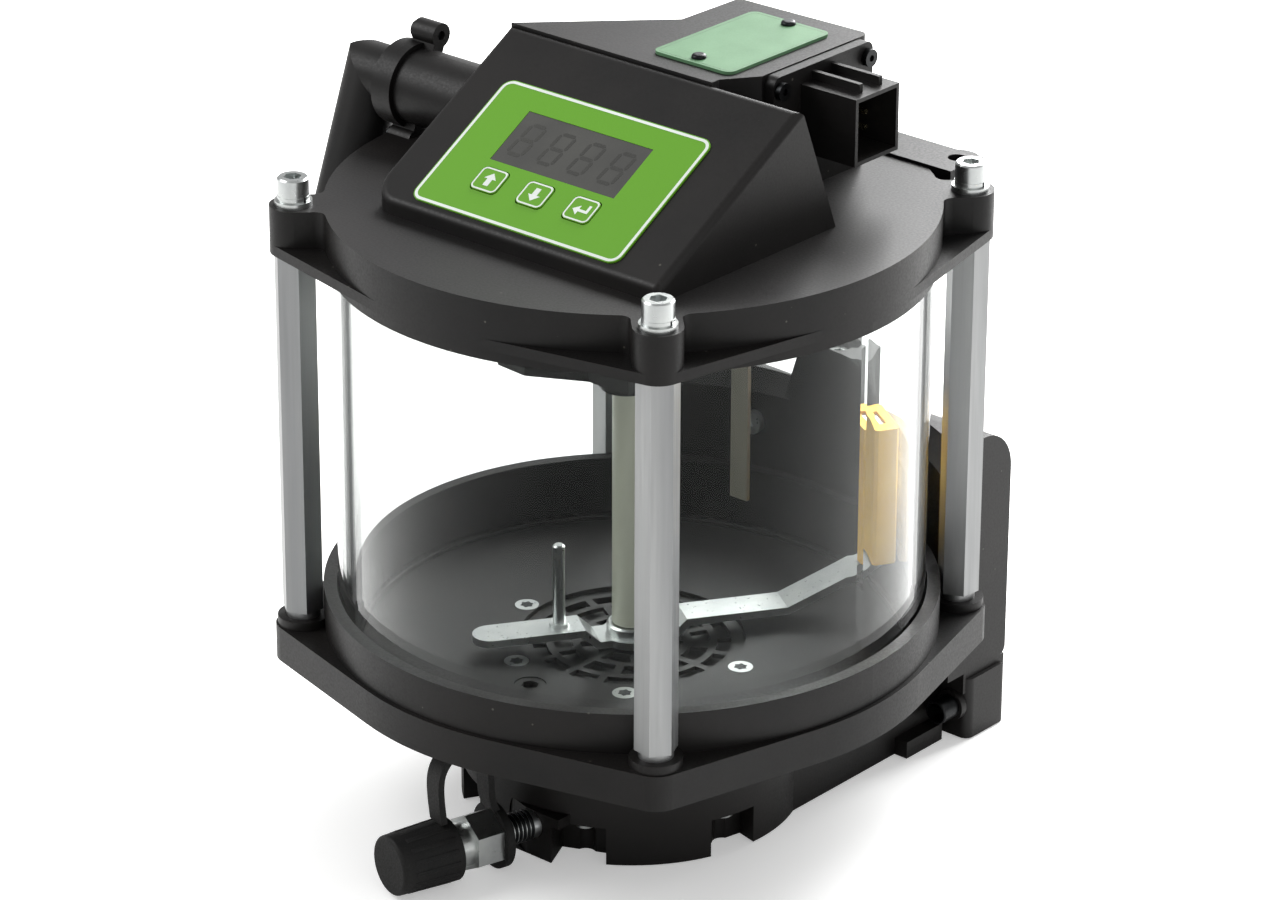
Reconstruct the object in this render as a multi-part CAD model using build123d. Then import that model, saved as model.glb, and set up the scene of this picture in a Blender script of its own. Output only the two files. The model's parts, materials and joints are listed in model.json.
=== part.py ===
from build123d import *
from math import acos, atan2, cos, degrees, hypot, pi, radians, sin, sqrt, tan
import os

# Electric lubrication pump: clear grease reservoir between a flanged base and a lid,
# display hood on top, gear drive and piston pump underneath, bracket behind.
# Millimetres. The origin lies on the reservoir's axis at the underside. -Y is the front.

# Clearances
running_gap = 0.05
seat_gap = 0.1
body_gap = 0.3

# Reservoir and its seals, which the rest is laid out round
reservoir_r = 95.0
reservoir_wall = 5.0
reservoir_height = 140.0
seal_thick = 1.5
seal_width = 6.0

# Gear case
cover_height = 16.5
cover_floor = 3.0
gasket_thick = 0.5
housing_top = 51.0
case_wall = 4.0
case_ceiling = 4.0
case_half_width = 52.0
drum_r = case_half_width + 5.0
cover_inset = 1.0
case_rear = reservoir_r + 3.0
case_boss_r = 4.0
side_tab_front = case_rear - 24.0
side_tab_rear = case_rear - 5.0
side_tab_reach = 5.2
side_tab_height = 6.0
side_rib_r = 2.0
side_rib_y = 48.0
duct_inset = 2.0
duct_r = 1.5
duct_wall = 1.7
channel_width = 5.0

# Mounting lugs and the shelf between them
lug_inner_x = case_half_width
lug_outer_x = case_half_width + 12.0
lug_height = 22.0
lug_rear = case_rear + 21.0
lug_corner_r = 3.0
lug_hole_x = case_half_width + 6.0
lug_hole_z = 12.0
lug_hole_r = 3.3
lug_boss_r = 5.4
lug_boss_thick = 2.5
sleeve_wall = 0.9
sleeve_reach = 7.5
sleeve_end_r = 0.6
shelf_low = 17.0
shelf_top = 24.5

# Screw pockets round the gear cover
pocket_angles = (-13, -66, -119, -172)
pocket_width = 17.0
pocket_wall_r = drum_r - 9.0
pocket_wall = 4.0
pocket_height = 13.0
cover_screw_circle_r = drum_r - 7.0
cover_screw_r = 2.0
cover_screw_length = 8.5
cover_screw_head_r = 3.25
cover_screw_head_height = 2.4
rear_screw_x = case_half_width - 7.0
rear_screw_y = case_rear - 7.0
rear_boss_wall = 2.0

# Base flange
flange_r = reservoir_r + 6.2
flange_thick = 12.0
flange_ear_r = 9.0
flange_floor = 4.5
collar_height = 13.5
collar_wall = 4.2
collar_gap = 0.6
rod_spot = (reservoir_r + 11.49) / sqrt(2)
rod_boss_r = 8.35
rod_boss_height = 3.0

# Strainer in the floor
strainer_r = 37.0
strainer_thick = 1.5
strainer_drop = 1.5
strainer_bore_r = 7.2
chamber_r = 34.0
slot_rings = ((11.0, 17.0), (19.5, 25.5), (28.0, 32.5))
slot_counts = (8, 12, 16)
slot_bar = 2.6
floor_screw_circle_r = 41.5
floor_screw_first = 8.0
floor_screw_count = 6
floor_screw_r = 2.0
floor_screw_head_r = 4.0
floor_screw_head_depth = 2.2
floor_screw_length = 7.5
floor_plug_x = -1.1
floor_plug_y = -47.8
floor_plug_r = 5.0
floor_plug_drop = 0.3
floor_plug_socket = 5.0
socket_depth = 2.5

# Tie rods
rod_across_flats = 12.0
rod_turn = 8.5
rod_top = 192.2
rod_neck_r = 5.5
rod_neck_height = 2.5
stud_r = 4.0
cap_screw_r = 3.0
cap_screw_length = 30.0
cap_screw_head_r = 5.0
cap_screw_head_height = 6.0
cap_screw_socket = 5.0
flat_washer_r = 6.0
flat_washer_thick = 1.6
spring_washer_r = 5.1
spring_washer_thick = 1.6

# Lid
lid_r = reservoir_r + 2.3
lid_rise = 9.5
lid_plate = 3.5
lid_wall_height = 12.3
lid_ear_r = 7.75
lid_ear_fillet = 3.5
lid_skirt_wall = 1.3
lid_skirt_height = 7.2
lid_skirt_gap = 0.3
lid_seat_width = 7.0
strip_rear = case_rear
strip_front = strip_rear - 17.0
strip_half_width = 63.0
strip_step = 1.0
strip_lug_x = strip_half_width - 6.0
strip_lug_y = strip_rear - 6.0
strip_lug_r = 7.5
strip_hole_r = 3.0

# Display hood
hood_left = -55.5
hood_right = 64.0
hood_front = -62.0
hood_lip = 5.0
hood_slope = 30.0
hood_slope_length = 76.8
hood_base_rear = 21.8
hood_wall = 3.0
hood_corner_r = 10.0
hood_edge_r = 2.5
block_rear = 72.0
block_right = 36.0
block_left = -16.4
block_notch_x = 28.0
block_notch_y = 8.0
block_side_front = 19.0
block_corner_r = 3.0

# Display panel, in the plane of the sloping face: x across, s up the slope
label_x = 2.4
label_s = 29.3
label_width = 85.2
label_length = 53.0
label_corner_r = 4.0
label_thick = 0.6
window_x = 1.8
window_s = 35.75
window_width = 50.8
window_length = 21.1
window_thick = 2.0
key_xs = (-17.7, 1.1, 20.1)
key_names = ("button_up", "button_down", "button_enter")
key_s = 17.5
key_width = 10.5
key_length = 9.3
key_corner_r = 2.0
key_proud = 0.4
key_depth = 4.0
key_travel = 0.4
key_stem_r = 2.0
board_depth = 9.5
board_thick = 1.6
board_s_low = 12.0
board_s_high = 52.0
board_width = 80.0
board_post_r = 3.0
switch_height = 2.2
switch_side = 6.0

# Nameplate
nameplate_x = 12.5
nameplate_y = 37.45
nameplate_width = 32.0
nameplate_length = 49.9
nameplate_thick = 1.0
nameplate_corner_r = 3.0
nameplate_screw_spots = ((12.1, 17.0), (13.2, 59.5))
nameplate_screw_r = 1.5
nameplate_screw_head_r = 2.4
nameplate_screw_head_height = 1.3

# Electrical connector on the right of the hood
plate_thick = 4.0
plate_front = 20.0
plate_rear = 69.0
plate_low = 222.0
plate_high = 251.0
shroud_end = 62.0
shroud_front = 33.2
shroud_rear = 54.7
shroud_low = 223.7
shroud_high = 245.9
shroud_wall = 1.3
shroud_floor = 3.0
fin_height = 3.0
fin_thick = 1.6
fin_spots = (38.6, 48.2)
pin_pitch_y = 4.7
pin_pitch_z = 5.2
pin_columns = 4
pin_rows = 3
pin_side = 1.4
pin_length = 12.0
plate_screw_spots = ((23.2, 246.4), (66.0, 246.0))
plate_screw_r = 1.6
plate_screw_head_r = 2.9
plate_screw_head_height = 2.0

# Vent elbow
vent_z = 222.5
vent_joint_x = -reservoir_r
vent_spigot_r = 12.5
vent_ring_r = 14.2
vent_ring_thick = 3.0
vent_ear_r = 4.1
vent_ear_length = 7.5
vent_ear_offset = 17.6
vent_web = 5.0
vent_turn = 20.5
elbow_ring_thick = 5.0
elbow_ear_thick = 2.0
elbow_r = 10.0
elbow_wall = 2.0
elbow_corner_x = vent_joint_x - 16.6
elbow_leg = 69.0
elbow_corner_swell = 0.4
elbow_screw_r = 1.6
elbow_screw_head_r = 2.9
elbow_screw_head_height = 1.6
elbow_screw_socket = 2.5

# Housing under the lid, with its hub and the level blade
dome_r = 43.0
dome_low = 168.0
hub_r_high = 29.0
hub_r_low = 12.0
hub_low = 146.0
dome_box_low = 165.0
dome_box = ((-20, 0), (-20, -42), (-10, -52), (2, -53), (20, -43.5), (36, -43.5), (36, 0))
dome_boss_r = 8.0
dome_boss_x = 27.0
dome_boss_y = -34.0
dome_boss_low = 162.5
blade_left = 16.0
blade_right = 23.0
blade_y = 30.0
blade_thick = 1.5
blade_low = 100.0
hood_screw_spots = ((-48.0, -30.0), (52.0, -30.0), (-10.0, 60.0), (29.0, 60.0))
hood_screw_r = 2.0
hood_screw_length = 12.0
hood_screw_head_r = 3.8
hood_screw_head_height = 2.6
hood_post_r = 5.0

# Shaft, stirrer and centre tube
shaft_r = 6.0
journal_r = 4.0
shaft_low = 3.3
shaft_shoulder = 54.8
shaft_top = 68.0
bush_wall = 3.0
bush_length = 6.0
lower_bush_length = 9.0
shaft_seal_r = 11.0
shaft_seal_thick = 1.3
tube_r = 6.5
tube_top = 152.0
strip_width = 12.0
strip_thick = 2.5
strip_joggle = 4.7
joggle_start = 13.0
joggle_end = 18.0
arm_right_angle = 56.0
arm_left_angle = arm_right_angle + 180.0
arm_left_length = 53.0
arm_bend_length = 51.5
arm_end_width = 10.0
stirrer_nut_r = 8.2
stirrer_nut_height = 3.6
stop_tab_height = 12.0
stir_pin_r = 2.0
stir_pin_reach = 24.4
stir_pin_top = 91.0
wiper_reach = reservoir_r - reservoir_wall - 6.0
wiper_width = 20.6
wiper_thick = 9.6
wiper_low = 75.4
wiper_height = 48.0
wiper_edge = 1.2

# Gears: module 2 with an idler between the motor pinion and the shaft gear
module = 2.0
pressure_angle = 25.0
addendum = 0.8
dedendum = 1.05
backlash = 0.14
drive_teeth = 45
idler_teeth = 10
pinion_teeth = 10
gear_low = 36.0
gear_width = 8.0
idler_axle_r = 3.0

# Motor and its plate
motor_r = 18.8
motor_height = 25.0
motor_plate_low = 31.0
motor_plate_thick = 2.5
motor_plate_half_width = case_half_width - 6.0
motor_plate_front = 44.0
motor_plate_rear = case_rear - 5.0
motor_boss_x = motor_plate_half_width - 4.0
motor_boss_ys = (48.5, 79.0)
motor_shaft_r = 2.5
motor_screw_spread = 13.0
plate_bolt_r = 1.9
plate_bolt_head_r = 3.4
plate_bolt_head_height = 2.0
plate_bolt_reach = 7.0

# Piston pump, along -X from the eccentric
pump_z = 29.5
eccentric_r = 12.0
eccentric_throw = 2.2
eccentric_width = 8.0
plunger_r = 3.5
plunger_head_r = 6.0
plunger_head_thick = 2.5
plunger_length = 28.0
cylinder_r = 6.0
cylinder_start = 27.0
cylinder_end = drum_r + 3.0
cylinder_bottom = 8.0
plunger_gap = 0.02
spring_wire_r = 0.8
outlet_hex = 14.0
outlet_hex_length = 6.0
outlet_thread_r = 5.0
outlet_bore_r = 2.2
outlet_length = 13.0

# Filler coupler and its cap, on a block at the front of the gear cover
filler_block_left = -1.0
filler_block_right = 19.6
filler_block_front = -58.0
filler_x = 7.3
filler_y = -58.4
filler_z = 11.2
filler_turn = -105.8
filler_thread_r = 4.85
filler_thread_depth = 8.0
filler_spotface_depth = 10.0
filler_plate_r = 11.0
filler_plate_start = 11.7
filler_plate_thick = 2.6
filler_hex = 17.0
filler_hex_start = filler_plate_start + filler_plate_thick + 0.1
filler_hex_end = 24.0
filler_neck_r = 7.2
filler_neck_end = 34.0
filler_nipple_r = 5.5
filler_nipple_end = 45.0
filler_bore_r = 2.0
filler_cap_start = 30.0
filler_cap_end = 52.2
filler_cap_front_r = 9.9
filler_cap_rear_r = 10.6
filler_cap_edge_r = 1.2
filler_cap_wall = 2.4
strap_width = 7.2
strap_thick = 2.2
strap_rise = 24.5

# Rear bracket with its tower
bracket_half_width = case_half_width + 10.5
bracket_rear = lug_rear + 0.5
bracket_height = 84.0
bracket_arc_r = reservoir_r + 8.0
bracket_corner_r = 15.0
bracket_foot_r = 3.0
bracket_top_slope = 6.5
bracket_case_gap = 2.5
bracket_wall = 5.0
bracket_rib = 5.0
bracket_rib_xs = (-30.0, -1.0, 30.0)
bracket_pocket_depth = 9.0
bracket_screw_x = 28.4
bracket_screw_z = 91.3
bracket_screw_face = bracket_rear - 20.0
bracket_screw_length = 11.0
bracket_screw_r = 2.5
bracket_screw_head_r = 4.0
bracket_screw_head_height = 2.8
tower_left = -10.0
tower_right = 18.5
tower_front = bracket_rear - 17.5
tower_height = 16.5
tower_flare = 7.0
tower_flare_high = 22.0
tower_flare_low = 40.0
tower_screw_x = 2.0
tower_screw_y = bracket_rear - 9.7
tower_screw_r = 2.5
tower_screw_head_r = 4.3
tower_screw_head_height = 5.0
tower_counterbore_r = 6.5
tower_counterbore_depth = 8.0

# Worked out from the sizes above
housing_low = cover_height + gasket_thick
cavity_r = drum_r - case_wall
cavity_half_width = case_half_width - case_wall
cavity_rear = case_rear - case_wall
cavity_top = housing_top - case_ceiling
flange_top = housing_top + flange_thick
floor_top = housing_top + flange_floor
collar_inner_r = reservoir_r + collar_gap
collar_outer_r = collar_inner_r + collar_wall
collar_top = flange_top + collar_height
reservoir_low = floor_top + seal_thick
reservoir_top = reservoir_low + reservoir_height
lid_seat = reservoir_top + seal_thick
lid_top = lid_seat + lid_rise
lid_wall_low = lid_top - lid_wall_height
lid_under = lid_top - lid_plate
rod_low = flange_top + rod_boss_height + rod_neck_height
rod_spots = [(x, y) for x in (-rod_spot, rod_spot) for y in (-rod_spot, rod_spot)]
hood_top = lid_top + hood_lip + hood_slope_length * sin(radians(hood_slope))
hood_crest = hood_front + hood_slope_length * cos(radians(hood_slope))
strainer_low = floor_top - strainer_drop - strainer_thick
arm_low = shaft_shoulder + strip_joggle
case_duct_x = duct_inset - cavity_r
plate_top = motor_plate_low + motor_plate_thick
motor_y = (drive_teeth + 2 * idler_teeth + pinion_teeth) * module / 2
idler_y = (drive_teeth + idler_teeth) * module / 2
filler_dir = Vector(cos(radians(filler_turn)), sin(radians(filler_turn)), 0)
slope_plane = Plane(
    origin=(0, hood_front, lid_top + hood_lip),
    x_dir=(1, 0, 0),
    z_dir=(0, -sin(radians(hood_slope)), cos(radians(hood_slope))),
)
vent_plane = Plane(
    origin=(vent_joint_x, 0, vent_z),
    x_dir=(0, sin(radians(vent_turn)), cos(radians(vent_turn))),
    z_dir=(-1, 0, 0),
)
cover_screw_spots = [
    (cover_screw_circle_r * cos(radians(a)), cover_screw_circle_r * sin(radians(a)))
    for a in pocket_angles
]
rear_screw_spots = [(-rear_screw_x, rear_screw_y), (rear_screw_x, rear_screw_y)]
motor_boss_spots = [(x, y) for x in (-motor_boss_x, motor_boss_x) for y in motor_boss_ys]
STANDING = (Align.CENTER, Align.CENTER, Align.MIN)


def upright(radius, low, high, x=0.0, y=0.0):
    """Round post standing on its end."""
    return Pos(x, y, low) * Cylinder(radius, high - low, align=STANDING)


def pipe(outer, inner, low, high, x=0.0, y=0.0):
    """Upright ring or tube."""
    return upright(outer, low, high, x, y) - upright(inner, low, high, x, y)


def slab(x_low, x_high, y_low, y_high, z_low, z_high):
    """Block between two corners."""
    corner = Pos(x_low, y_low, z_low)
    size = (x_high - x_low, y_high - y_low, z_high - z_low)
    return corner * Box(*size, align=(Align.MIN, Align.MIN, Align.MIN))


def prism(plan, low, high):
    """Flat outline raised between two heights."""
    return extrude(Pos(0, 0, low) * plan, amount=high - low, dir=(0, 0, 1))


def side_prism(profile, x_low, x_high):
    """Outline in y and z drawn out along x."""
    plane = Plane(origin=(x_low, 0, 0), x_dir=(0, 1, 0), z_dir=(1, 0, 0))
    return extrude(plane * profile, amount=x_high - x_low, dir=(1, 0, 0))


def front_prism(profile, y_low, y_high):
    """Outline in x and z drawn out along y."""
    plane = Plane(origin=(0, y_high, 0), x_dir=(1, 0, 0), z_dir=(0, -1, 0))
    return extrude(plane * profile, amount=y_high - y_low, dir=(0, -1, 0))


def bar(start, direction, radius, length):
    """Round bar from a point along a direction."""
    return Plane(origin=start, z_dir=direction) * Cylinder(radius, length, align=STANDING)


def hexagon(across_flats):
    """Hexagon by its width across flats."""
    return RegularPolygon(across_flats / 2, 6, major_radius=False)


def polar(radius, degrees_round):
    """Point on a circle about the upright axis."""
    return radius * cos(radians(degrees_round)), radius * sin(radians(degrees_round))


def tangent_web(disc_r, ear_r, x, y):
    """Web whose sides touch the disc and the ear as straight tangents."""
    reach = hypot(x, y)
    toward = degrees(atan2(y, x))
    spread = degrees(acos((disc_r - ear_r) / reach))
    points = [polar(disc_r, toward - spread), polar(disc_r, toward + spread)]
    for angle in (toward + spread, toward - spread):
        dx, dy = polar(ear_r, angle)
        points.append((x + dx, y + dy))
    return Polygon(*points, align=None)


def eared_disc(disc_r, ear_r):
    """Disc with four tangent ears at the tie rods."""
    plan = Circle(disc_r)
    for x, y in rod_spots:
        plan += tangent_web(disc_r, ear_r, x, y)
        plan += Pos(x, y) * Circle(ear_r)
    return plan


def case_plan(radius, half_width, rear):
    """Drum with the straight-sided motor bay behind it."""
    bay = Pos(0, rear / 2) * Rectangle(2 * half_width, rear)
    return Circle(radius) + bay


def rounded_plate(width, length, corner_r):
    """Flat plate outline with round corners."""
    return RectangleRounded(width, length, corner_r)


def make_gear_cover():
    """Bottom cover with open screw pockets, filler block and the lower bush seat."""
    body = prism(case_plan(drum_r - cover_inset, case_half_width, case_rear), 0, cover_height)
    body += slab(filler_block_left, filler_block_right, filler_block_front, 0, 0, cover_height)
    body -= upright(pocket_wall_r - pocket_wall, cover_floor, cover_height)
    body -= slab(-cavity_half_width, cavity_half_width, 0, cavity_rear, cover_floor, cover_height)
    boss_r = shaft_r + bush_wall + case_wall
    body += upright(boss_r, 0, cover_floor + lower_bush_length + 1)
    body -= upright(shaft_r + bush_wall, cover_floor, cover_height)
    half = pocket_width / 2
    for angle in pocket_angles:
        body -= Rot(0, 0, angle) * slab(pocket_wall_r, drum_r + 5, -half, half, -1, pocket_height)
    for x, y in cover_screw_spots:
        body -= upright(cover_screw_r + seat_gap, 0, cover_height, x, y)
        body -= upright(cover_screw_head_r + seat_gap, 0, pocket_height, x, y)
    for x, y in rear_screw_spots:
        body += upright(cover_screw_head_r + rear_boss_wall, 0, cover_height, x, y)
        body -= upright(cover_screw_r + seat_gap, 0, cover_height, x, y)
        body -= upright(cover_screw_head_r + body_gap, 0, pocket_height, x, y)
    for side in (-1, 1):
        edge = side * case_half_width
        x_low, x_high = sorted((edge - side, edge + side * side_tab_reach))
        body += slab(x_low, x_high, side_tab_front, side_tab_rear, 0, side_tab_height)
    start = (filler_x, filler_y, filler_z)
    body -= bar(start, -1 * filler_dir, filler_thread_r + seat_gap, filler_thread_depth + 1)
    body -= bar(start, filler_dir, filler_plate_r, filler_spotface_depth)
    return body


def make_cover_gasket():
    """Flat gasket between the cover and the housing."""
    plan = case_plan(drum_r - cover_inset, case_half_width, case_rear)
    plan -= case_plan(cavity_r, cavity_half_width, cavity_rear)
    for x, y in cover_screw_spots + rear_screw_spots:
        plan += Pos(x, y) * Circle(case_boss_r)
    for x, y in cover_screw_spots + rear_screw_spots:
        plan -= Pos(x, y) * Circle(cover_screw_r + seat_gap)
    return prism(plan, cover_height, housing_low)


def cover_screw(x, y):
    """Pan head screw driven up through the cover."""
    head_top = pocket_height
    screw = upright(cover_screw_head_r, head_top - cover_screw_head_height, head_top, x, y)
    screw += upright(cover_screw_r, head_top, head_top + cover_screw_length, x, y)
    screw -= upright(1.2, head_top - cover_screw_head_height, head_top - 1, x, y)
    return screw


def make_cover_screws():
    """Cover screws: four in the pockets, two at the rear."""
    return Compound([cover_screw(x, y) for x, y in cover_screw_spots + rear_screw_spots])


def housing_bosses():
    """Solid bosses inside the housing that take the screws from below."""
    screw_depth = pocket_height + cover_screw_length + 1
    bosses = [upright(case_boss_r, housing_low, screw_depth, x, y) for x, y in cover_screw_spots]
    bosses += [upright(case_boss_r, housing_low, cavity_top, x, y) for x, y in rear_screw_spots]
    bosses += [upright(case_boss_r, plate_top, cavity_top + 1, x, y) for x, y in motor_boss_spots]
    bosses.append(upright(shaft_r + bush_wall + case_wall, housing_top - bush_length, housing_top))
    return bosses


def housing_holes():
    """Screw, bush, cylinder and grease holes in the housing."""
    holes = []
    for x, y in cover_screw_spots + rear_screw_spots:
        holes.append(upright(cover_screw_r, housing_low, pocket_height + cover_screw_length, x, y))
    for x, y in motor_boss_spots:
        holes.append(upright(plate_bolt_r, plate_top, plate_top + plate_bolt_reach + 1, x, y))
    for x, y in floor_screw_spots():
        holes.append(upright(floor_screw_r, floor_top - floor_screw_length, housing_top, x, y))
    holes.append(upright(shaft_r + bush_wall, housing_top - bush_length, housing_top))
    holes.append(bar((-cavity_r + 6, 0, pump_z), (-1, 0, 0), cylinder_r + seat_gap, 20))
    holes.append(upright(duct_r, pump_z, housing_top, case_duct_x, 0))
    return holes


def make_gear_housing():
    """Upper gear case with the motor bay, the rear shelf and the two mounting lugs."""
    body = prism(case_plan(drum_r, case_half_width, case_rear), housing_low, housing_top)
    body -= prism(case_plan(cavity_r, cavity_half_width, cavity_rear), housing_low, cavity_top)
    for boss in housing_bosses():
        body += boss
    body += upright(duct_r + duct_wall, pump_z + cylinder_r, cavity_top + 1, case_duct_x, 0)
    body += slab(-bracket_half_width, bracket_half_width, case_rear - 1, lug_rear, shelf_low, shelf_top)
    boss_front = case_rear - lug_boss_thick
    for side in (-1, 1):
        body += mounting_lug(side)
        body += bar((side * lug_hole_x, boss_front, lug_hole_z), (0, 1, 0), lug_boss_r, lug_boss_thick)
        hole_start = (side * lug_hole_x, boss_front, lug_hole_z)
        body -= bar(hole_start, (0, 1, 0), lug_hole_r + sleeve_wall, lug_rear - boss_front)
        body += upright(side_rib_r, housing_low, housing_top, side * case_half_width, side_rib_y)
    for hole in housing_holes():
        body -= hole
    body -= upright(tower_screw_r, shelf_low + 1, shelf_top, tower_screw_x, tower_screw_y)
    return body


def mounting_lug(side):
    """Lug block beside the motor bay, rounded at its upright and top rear edges."""
    x_low, x_high = sorted((side * lug_inner_x, side * lug_outer_x))
    lug = slab(x_low, x_high, case_rear, lug_rear, 0, lug_height)
    outer = [e for e in lug.edges().filter_by(Axis.Z) if abs(abs(e.center().X) - lug_outer_x) < 0.01]
    rear_top = lug.edges().filter_by(Axis.X).sort_by(lambda e: e.center().Z + e.center().Y)[-1]
    return fillet([*outer, rear_top], lug_corner_r)


def make_lug_sleeves():
    """Steel sleeves that take the mounting bolts' clamp force in the lugs."""
    sleeves = []
    for side in (-1, 1):
        front = case_rear - lug_boss_thick - sleeve_reach
        start = (side * lug_hole_x, front, lug_hole_z)
        sleeve = bar(start, (0, 1, 0), lug_hole_r + sleeve_wall, lug_rear - front)
        sleeve = fillet(sleeve.edges().group_by(Axis.Y)[0], sleeve_end_r)
        sleeves.append(sleeve - bar(start, (0, 1, 0), lug_hole_r, lug_rear - front))
    return Compound(sleeves)


def make_base_flange():
    """Moulded flange: eared plate, collar round the glass and the reservoir floor."""
    body = prism(eared_disc(flange_r, flange_ear_r), housing_top, flange_top)
    body += upright(collar_outer_r, flange_top, collar_top)
    body -= upright(collar_inner_r, floor_top, collar_top)
    for x, y in rod_spots:
        body += upright(rod_boss_r, flange_top, flange_top + rod_boss_height, x, y)
    for x, y in rod_spots:
        body -= upright(stud_r + seat_gap, housing_top, collar_top, x, y)
    body -= upright(strainer_r + seat_gap, strainer_low, floor_top)
    body -= upright(chamber_r, housing_top, strainer_low)
    half = channel_width / 2
    body -= slab(case_duct_x - half, 0, -half, half, housing_top, strainer_low)
    for x, y in floor_screw_spots():
        body -= floor_screw(x, y, seat_gap)
    body -= upright(floor_plug_r + seat_gap, housing_top, floor_top, floor_plug_x, floor_plug_y)
    return body


def floor_screw_spots():
    """Places of the screws round the strainer."""
    step = 360 / floor_screw_count
    return [polar(floor_screw_circle_r, floor_screw_first + step * i) for i in range(floor_screw_count)]


def floor_screw(x, y, gap=0.0):
    """Countersunk screw through the reservoir floor, or its hole with a gap."""
    screw = upright(floor_screw_r + gap, floor_top - floor_screw_length, floor_top, x, y)
    cone = Cone(floor_screw_r + gap, floor_screw_head_r + gap, floor_screw_head_depth, align=STANDING)
    return screw + Pos(x, y, floor_top - floor_screw_head_depth) * cone


def make_floor_screws():
    """Six countersunk screws with a six-lobe drive."""
    screws = []
    for x, y in floor_screw_spots():
        screw = floor_screw(x, y)
        socket = Pos(x, y) * RegularPolygon(1.5, 6)
        screw -= prism(socket, floor_top - 1.5, floor_top)
        screws.append(screw)
    return Compound(screws)


def make_floor_plug():
    """Round plug in the floor with a hexagon socket."""
    plug = upright(floor_plug_r, housing_top, floor_top - floor_plug_drop, floor_plug_x, floor_plug_y)
    socket = Pos(floor_plug_x, floor_plug_y) * hexagon(floor_plug_socket)
    return plug - prism(socket, floor_top - socket_depth, floor_top)


def make_strainer_plate():
    """Perforated disc with three rings of curved slots."""
    plan = Circle(strainer_r) - Circle(strainer_bore_r)
    for (inner, outer), count in zip(slot_rings, slot_counts):
        ring = Circle(outer) - Circle(inner)
        for i in range(count // 2):
            ring -= Rot(0, 0, 360 / count * i) * Rectangle(3 * strainer_r, slot_bar)
        plan -= ring
    return prism(plan, strainer_low, strainer_low + strainer_thick)


def make_tie_rods():
    """Four hexagon rods with a neck and a stud below and a tapped hole above."""
    rods = []
    for x, y in rod_spots:
        toward = degrees(atan2(y, x))
        section = Pos(x, y) * Rot(0, 0, toward + 30 + rod_turn) * hexagon(rod_across_flats)
        rod = prism(section, rod_low, rod_top)
        rod += upright(rod_neck_r, flange_top + rod_boss_height, rod_low, x, y)
        rod += upright(stud_r, housing_top + 1, rod_low, x, y)
        rod -= upright(cap_screw_r, rod_top - 20, rod_top, x, y)
        rods.append(rod)
    return Compound(rods)


def lid_ear_plan():
    """Lid disc with four ears blended in by concave fillets."""
    plan = Circle(lid_r)
    for x, y in rod_spots:
        reach = hypot(x, y)
        neck = Pos(reach / 2, 0) * Rectangle(reach, 2 * lid_ear_r)
        plan += Rot(0, 0, degrees(atan2(y, x))) * neck
        plan += Pos(x, y) * Circle(lid_ear_r)
    joins = [
        v for v in plan.vertices()
        if abs(hypot(v.X, v.Y) - lid_r) < 0.01 and min(abs(v.X), abs(v.Y)) > lid_r / 2
    ]
    return fillet(joins, lid_ear_fillet)


def make_lid():
    """Lid moulding: plate, rim, skirt round the glass, ears and the rear strip."""
    body = prism(lid_ear_plan(), rod_top, lid_top)
    body += prism(eared_disc(lid_r, lid_ear_r), rod_top, lid_wall_low)
    body -= upright(lid_r - 3.0, rod_top, lid_wall_low)
    skirt_outer = reservoir_r + lid_skirt_gap + lid_skirt_wall
    body += pipe(skirt_outer, reservoir_r + lid_skirt_gap, lid_wall_low - lid_skirt_height, lid_wall_low)
    body -= upright(reservoir_r + lid_skirt_gap, rod_top - 10, lid_seat)
    strip_top = lid_top + strip_step
    strip = slab(-strip_half_width, strip_half_width, strip_front, strip_rear, lid_wall_low, strip_top)
    strip -= upright(reservoir_r + lid_skirt_gap, lid_wall_low, lid_seat)
    for side in (-1, 1):
        strip += upright(strip_lug_r, lid_wall_low + 3, strip_top, side * strip_lug_x, strip_lug_y)
    body += strip
    for side in (-1, 1):
        body -= upright(strip_hole_r, rod_top, lid_top + 5, side * strip_lug_x, strip_lug_y)
    body -= upright(reservoir_r - lid_seat_width, lid_seat - 1, lid_under)
    for x, y in rod_spots:
        body -= upright(cap_screw_r + seat_gap, rod_top - 1, lid_top + 1, x, y)
    for x, y in hood_screw_spots:
        body -= upright(hood_screw_r + seat_gap, lid_under, lid_top, x, y)
    notch_low = -vent_ear_length - body_gap
    notch = upright(vent_ear_r + body_gap, notch_low, elbow_ring_thick, -vent_ear_offset, 0)
    return body - vent_plane * notch


def make_lid_washers():
    """A flat washer and a split spring washer under each lid screw."""
    low = lid_top + flat_washer_thick
    high = low + spring_washer_thick
    bore_r = cap_screw_r + 2 * seat_gap
    washers = []
    for x, y in rod_spots:
        washers.append(pipe(flat_washer_r, bore_r, lid_top, low, x, y))
        split = pipe(spring_washer_r, bore_r, low, high, x, y)
        split -= slab(x, x + 7, y - 0.4, y + 0.4, low, high)
        washers.append(split)
    return Compound(washers)


def make_lid_cap_screws():
    """Socket cap screws through the lid ears into the rods."""
    low = lid_top + flat_washer_thick + spring_washer_thick
    high = low + cap_screw_head_height
    screws = []
    for x, y in rod_spots:
        head = upright(cap_screw_head_r, low, high, x, y)
        head = chamfer(head.edges().group_by(Axis.Z)[-1], 0.5)
        screw = head + upright(cap_screw_r, low - cap_screw_length, low, x, y)
        screw -= prism(Pos(x, y) * hexagon(cap_screw_socket), high - 3, high)
        screws.append(screw)
    return Compound(screws)


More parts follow.
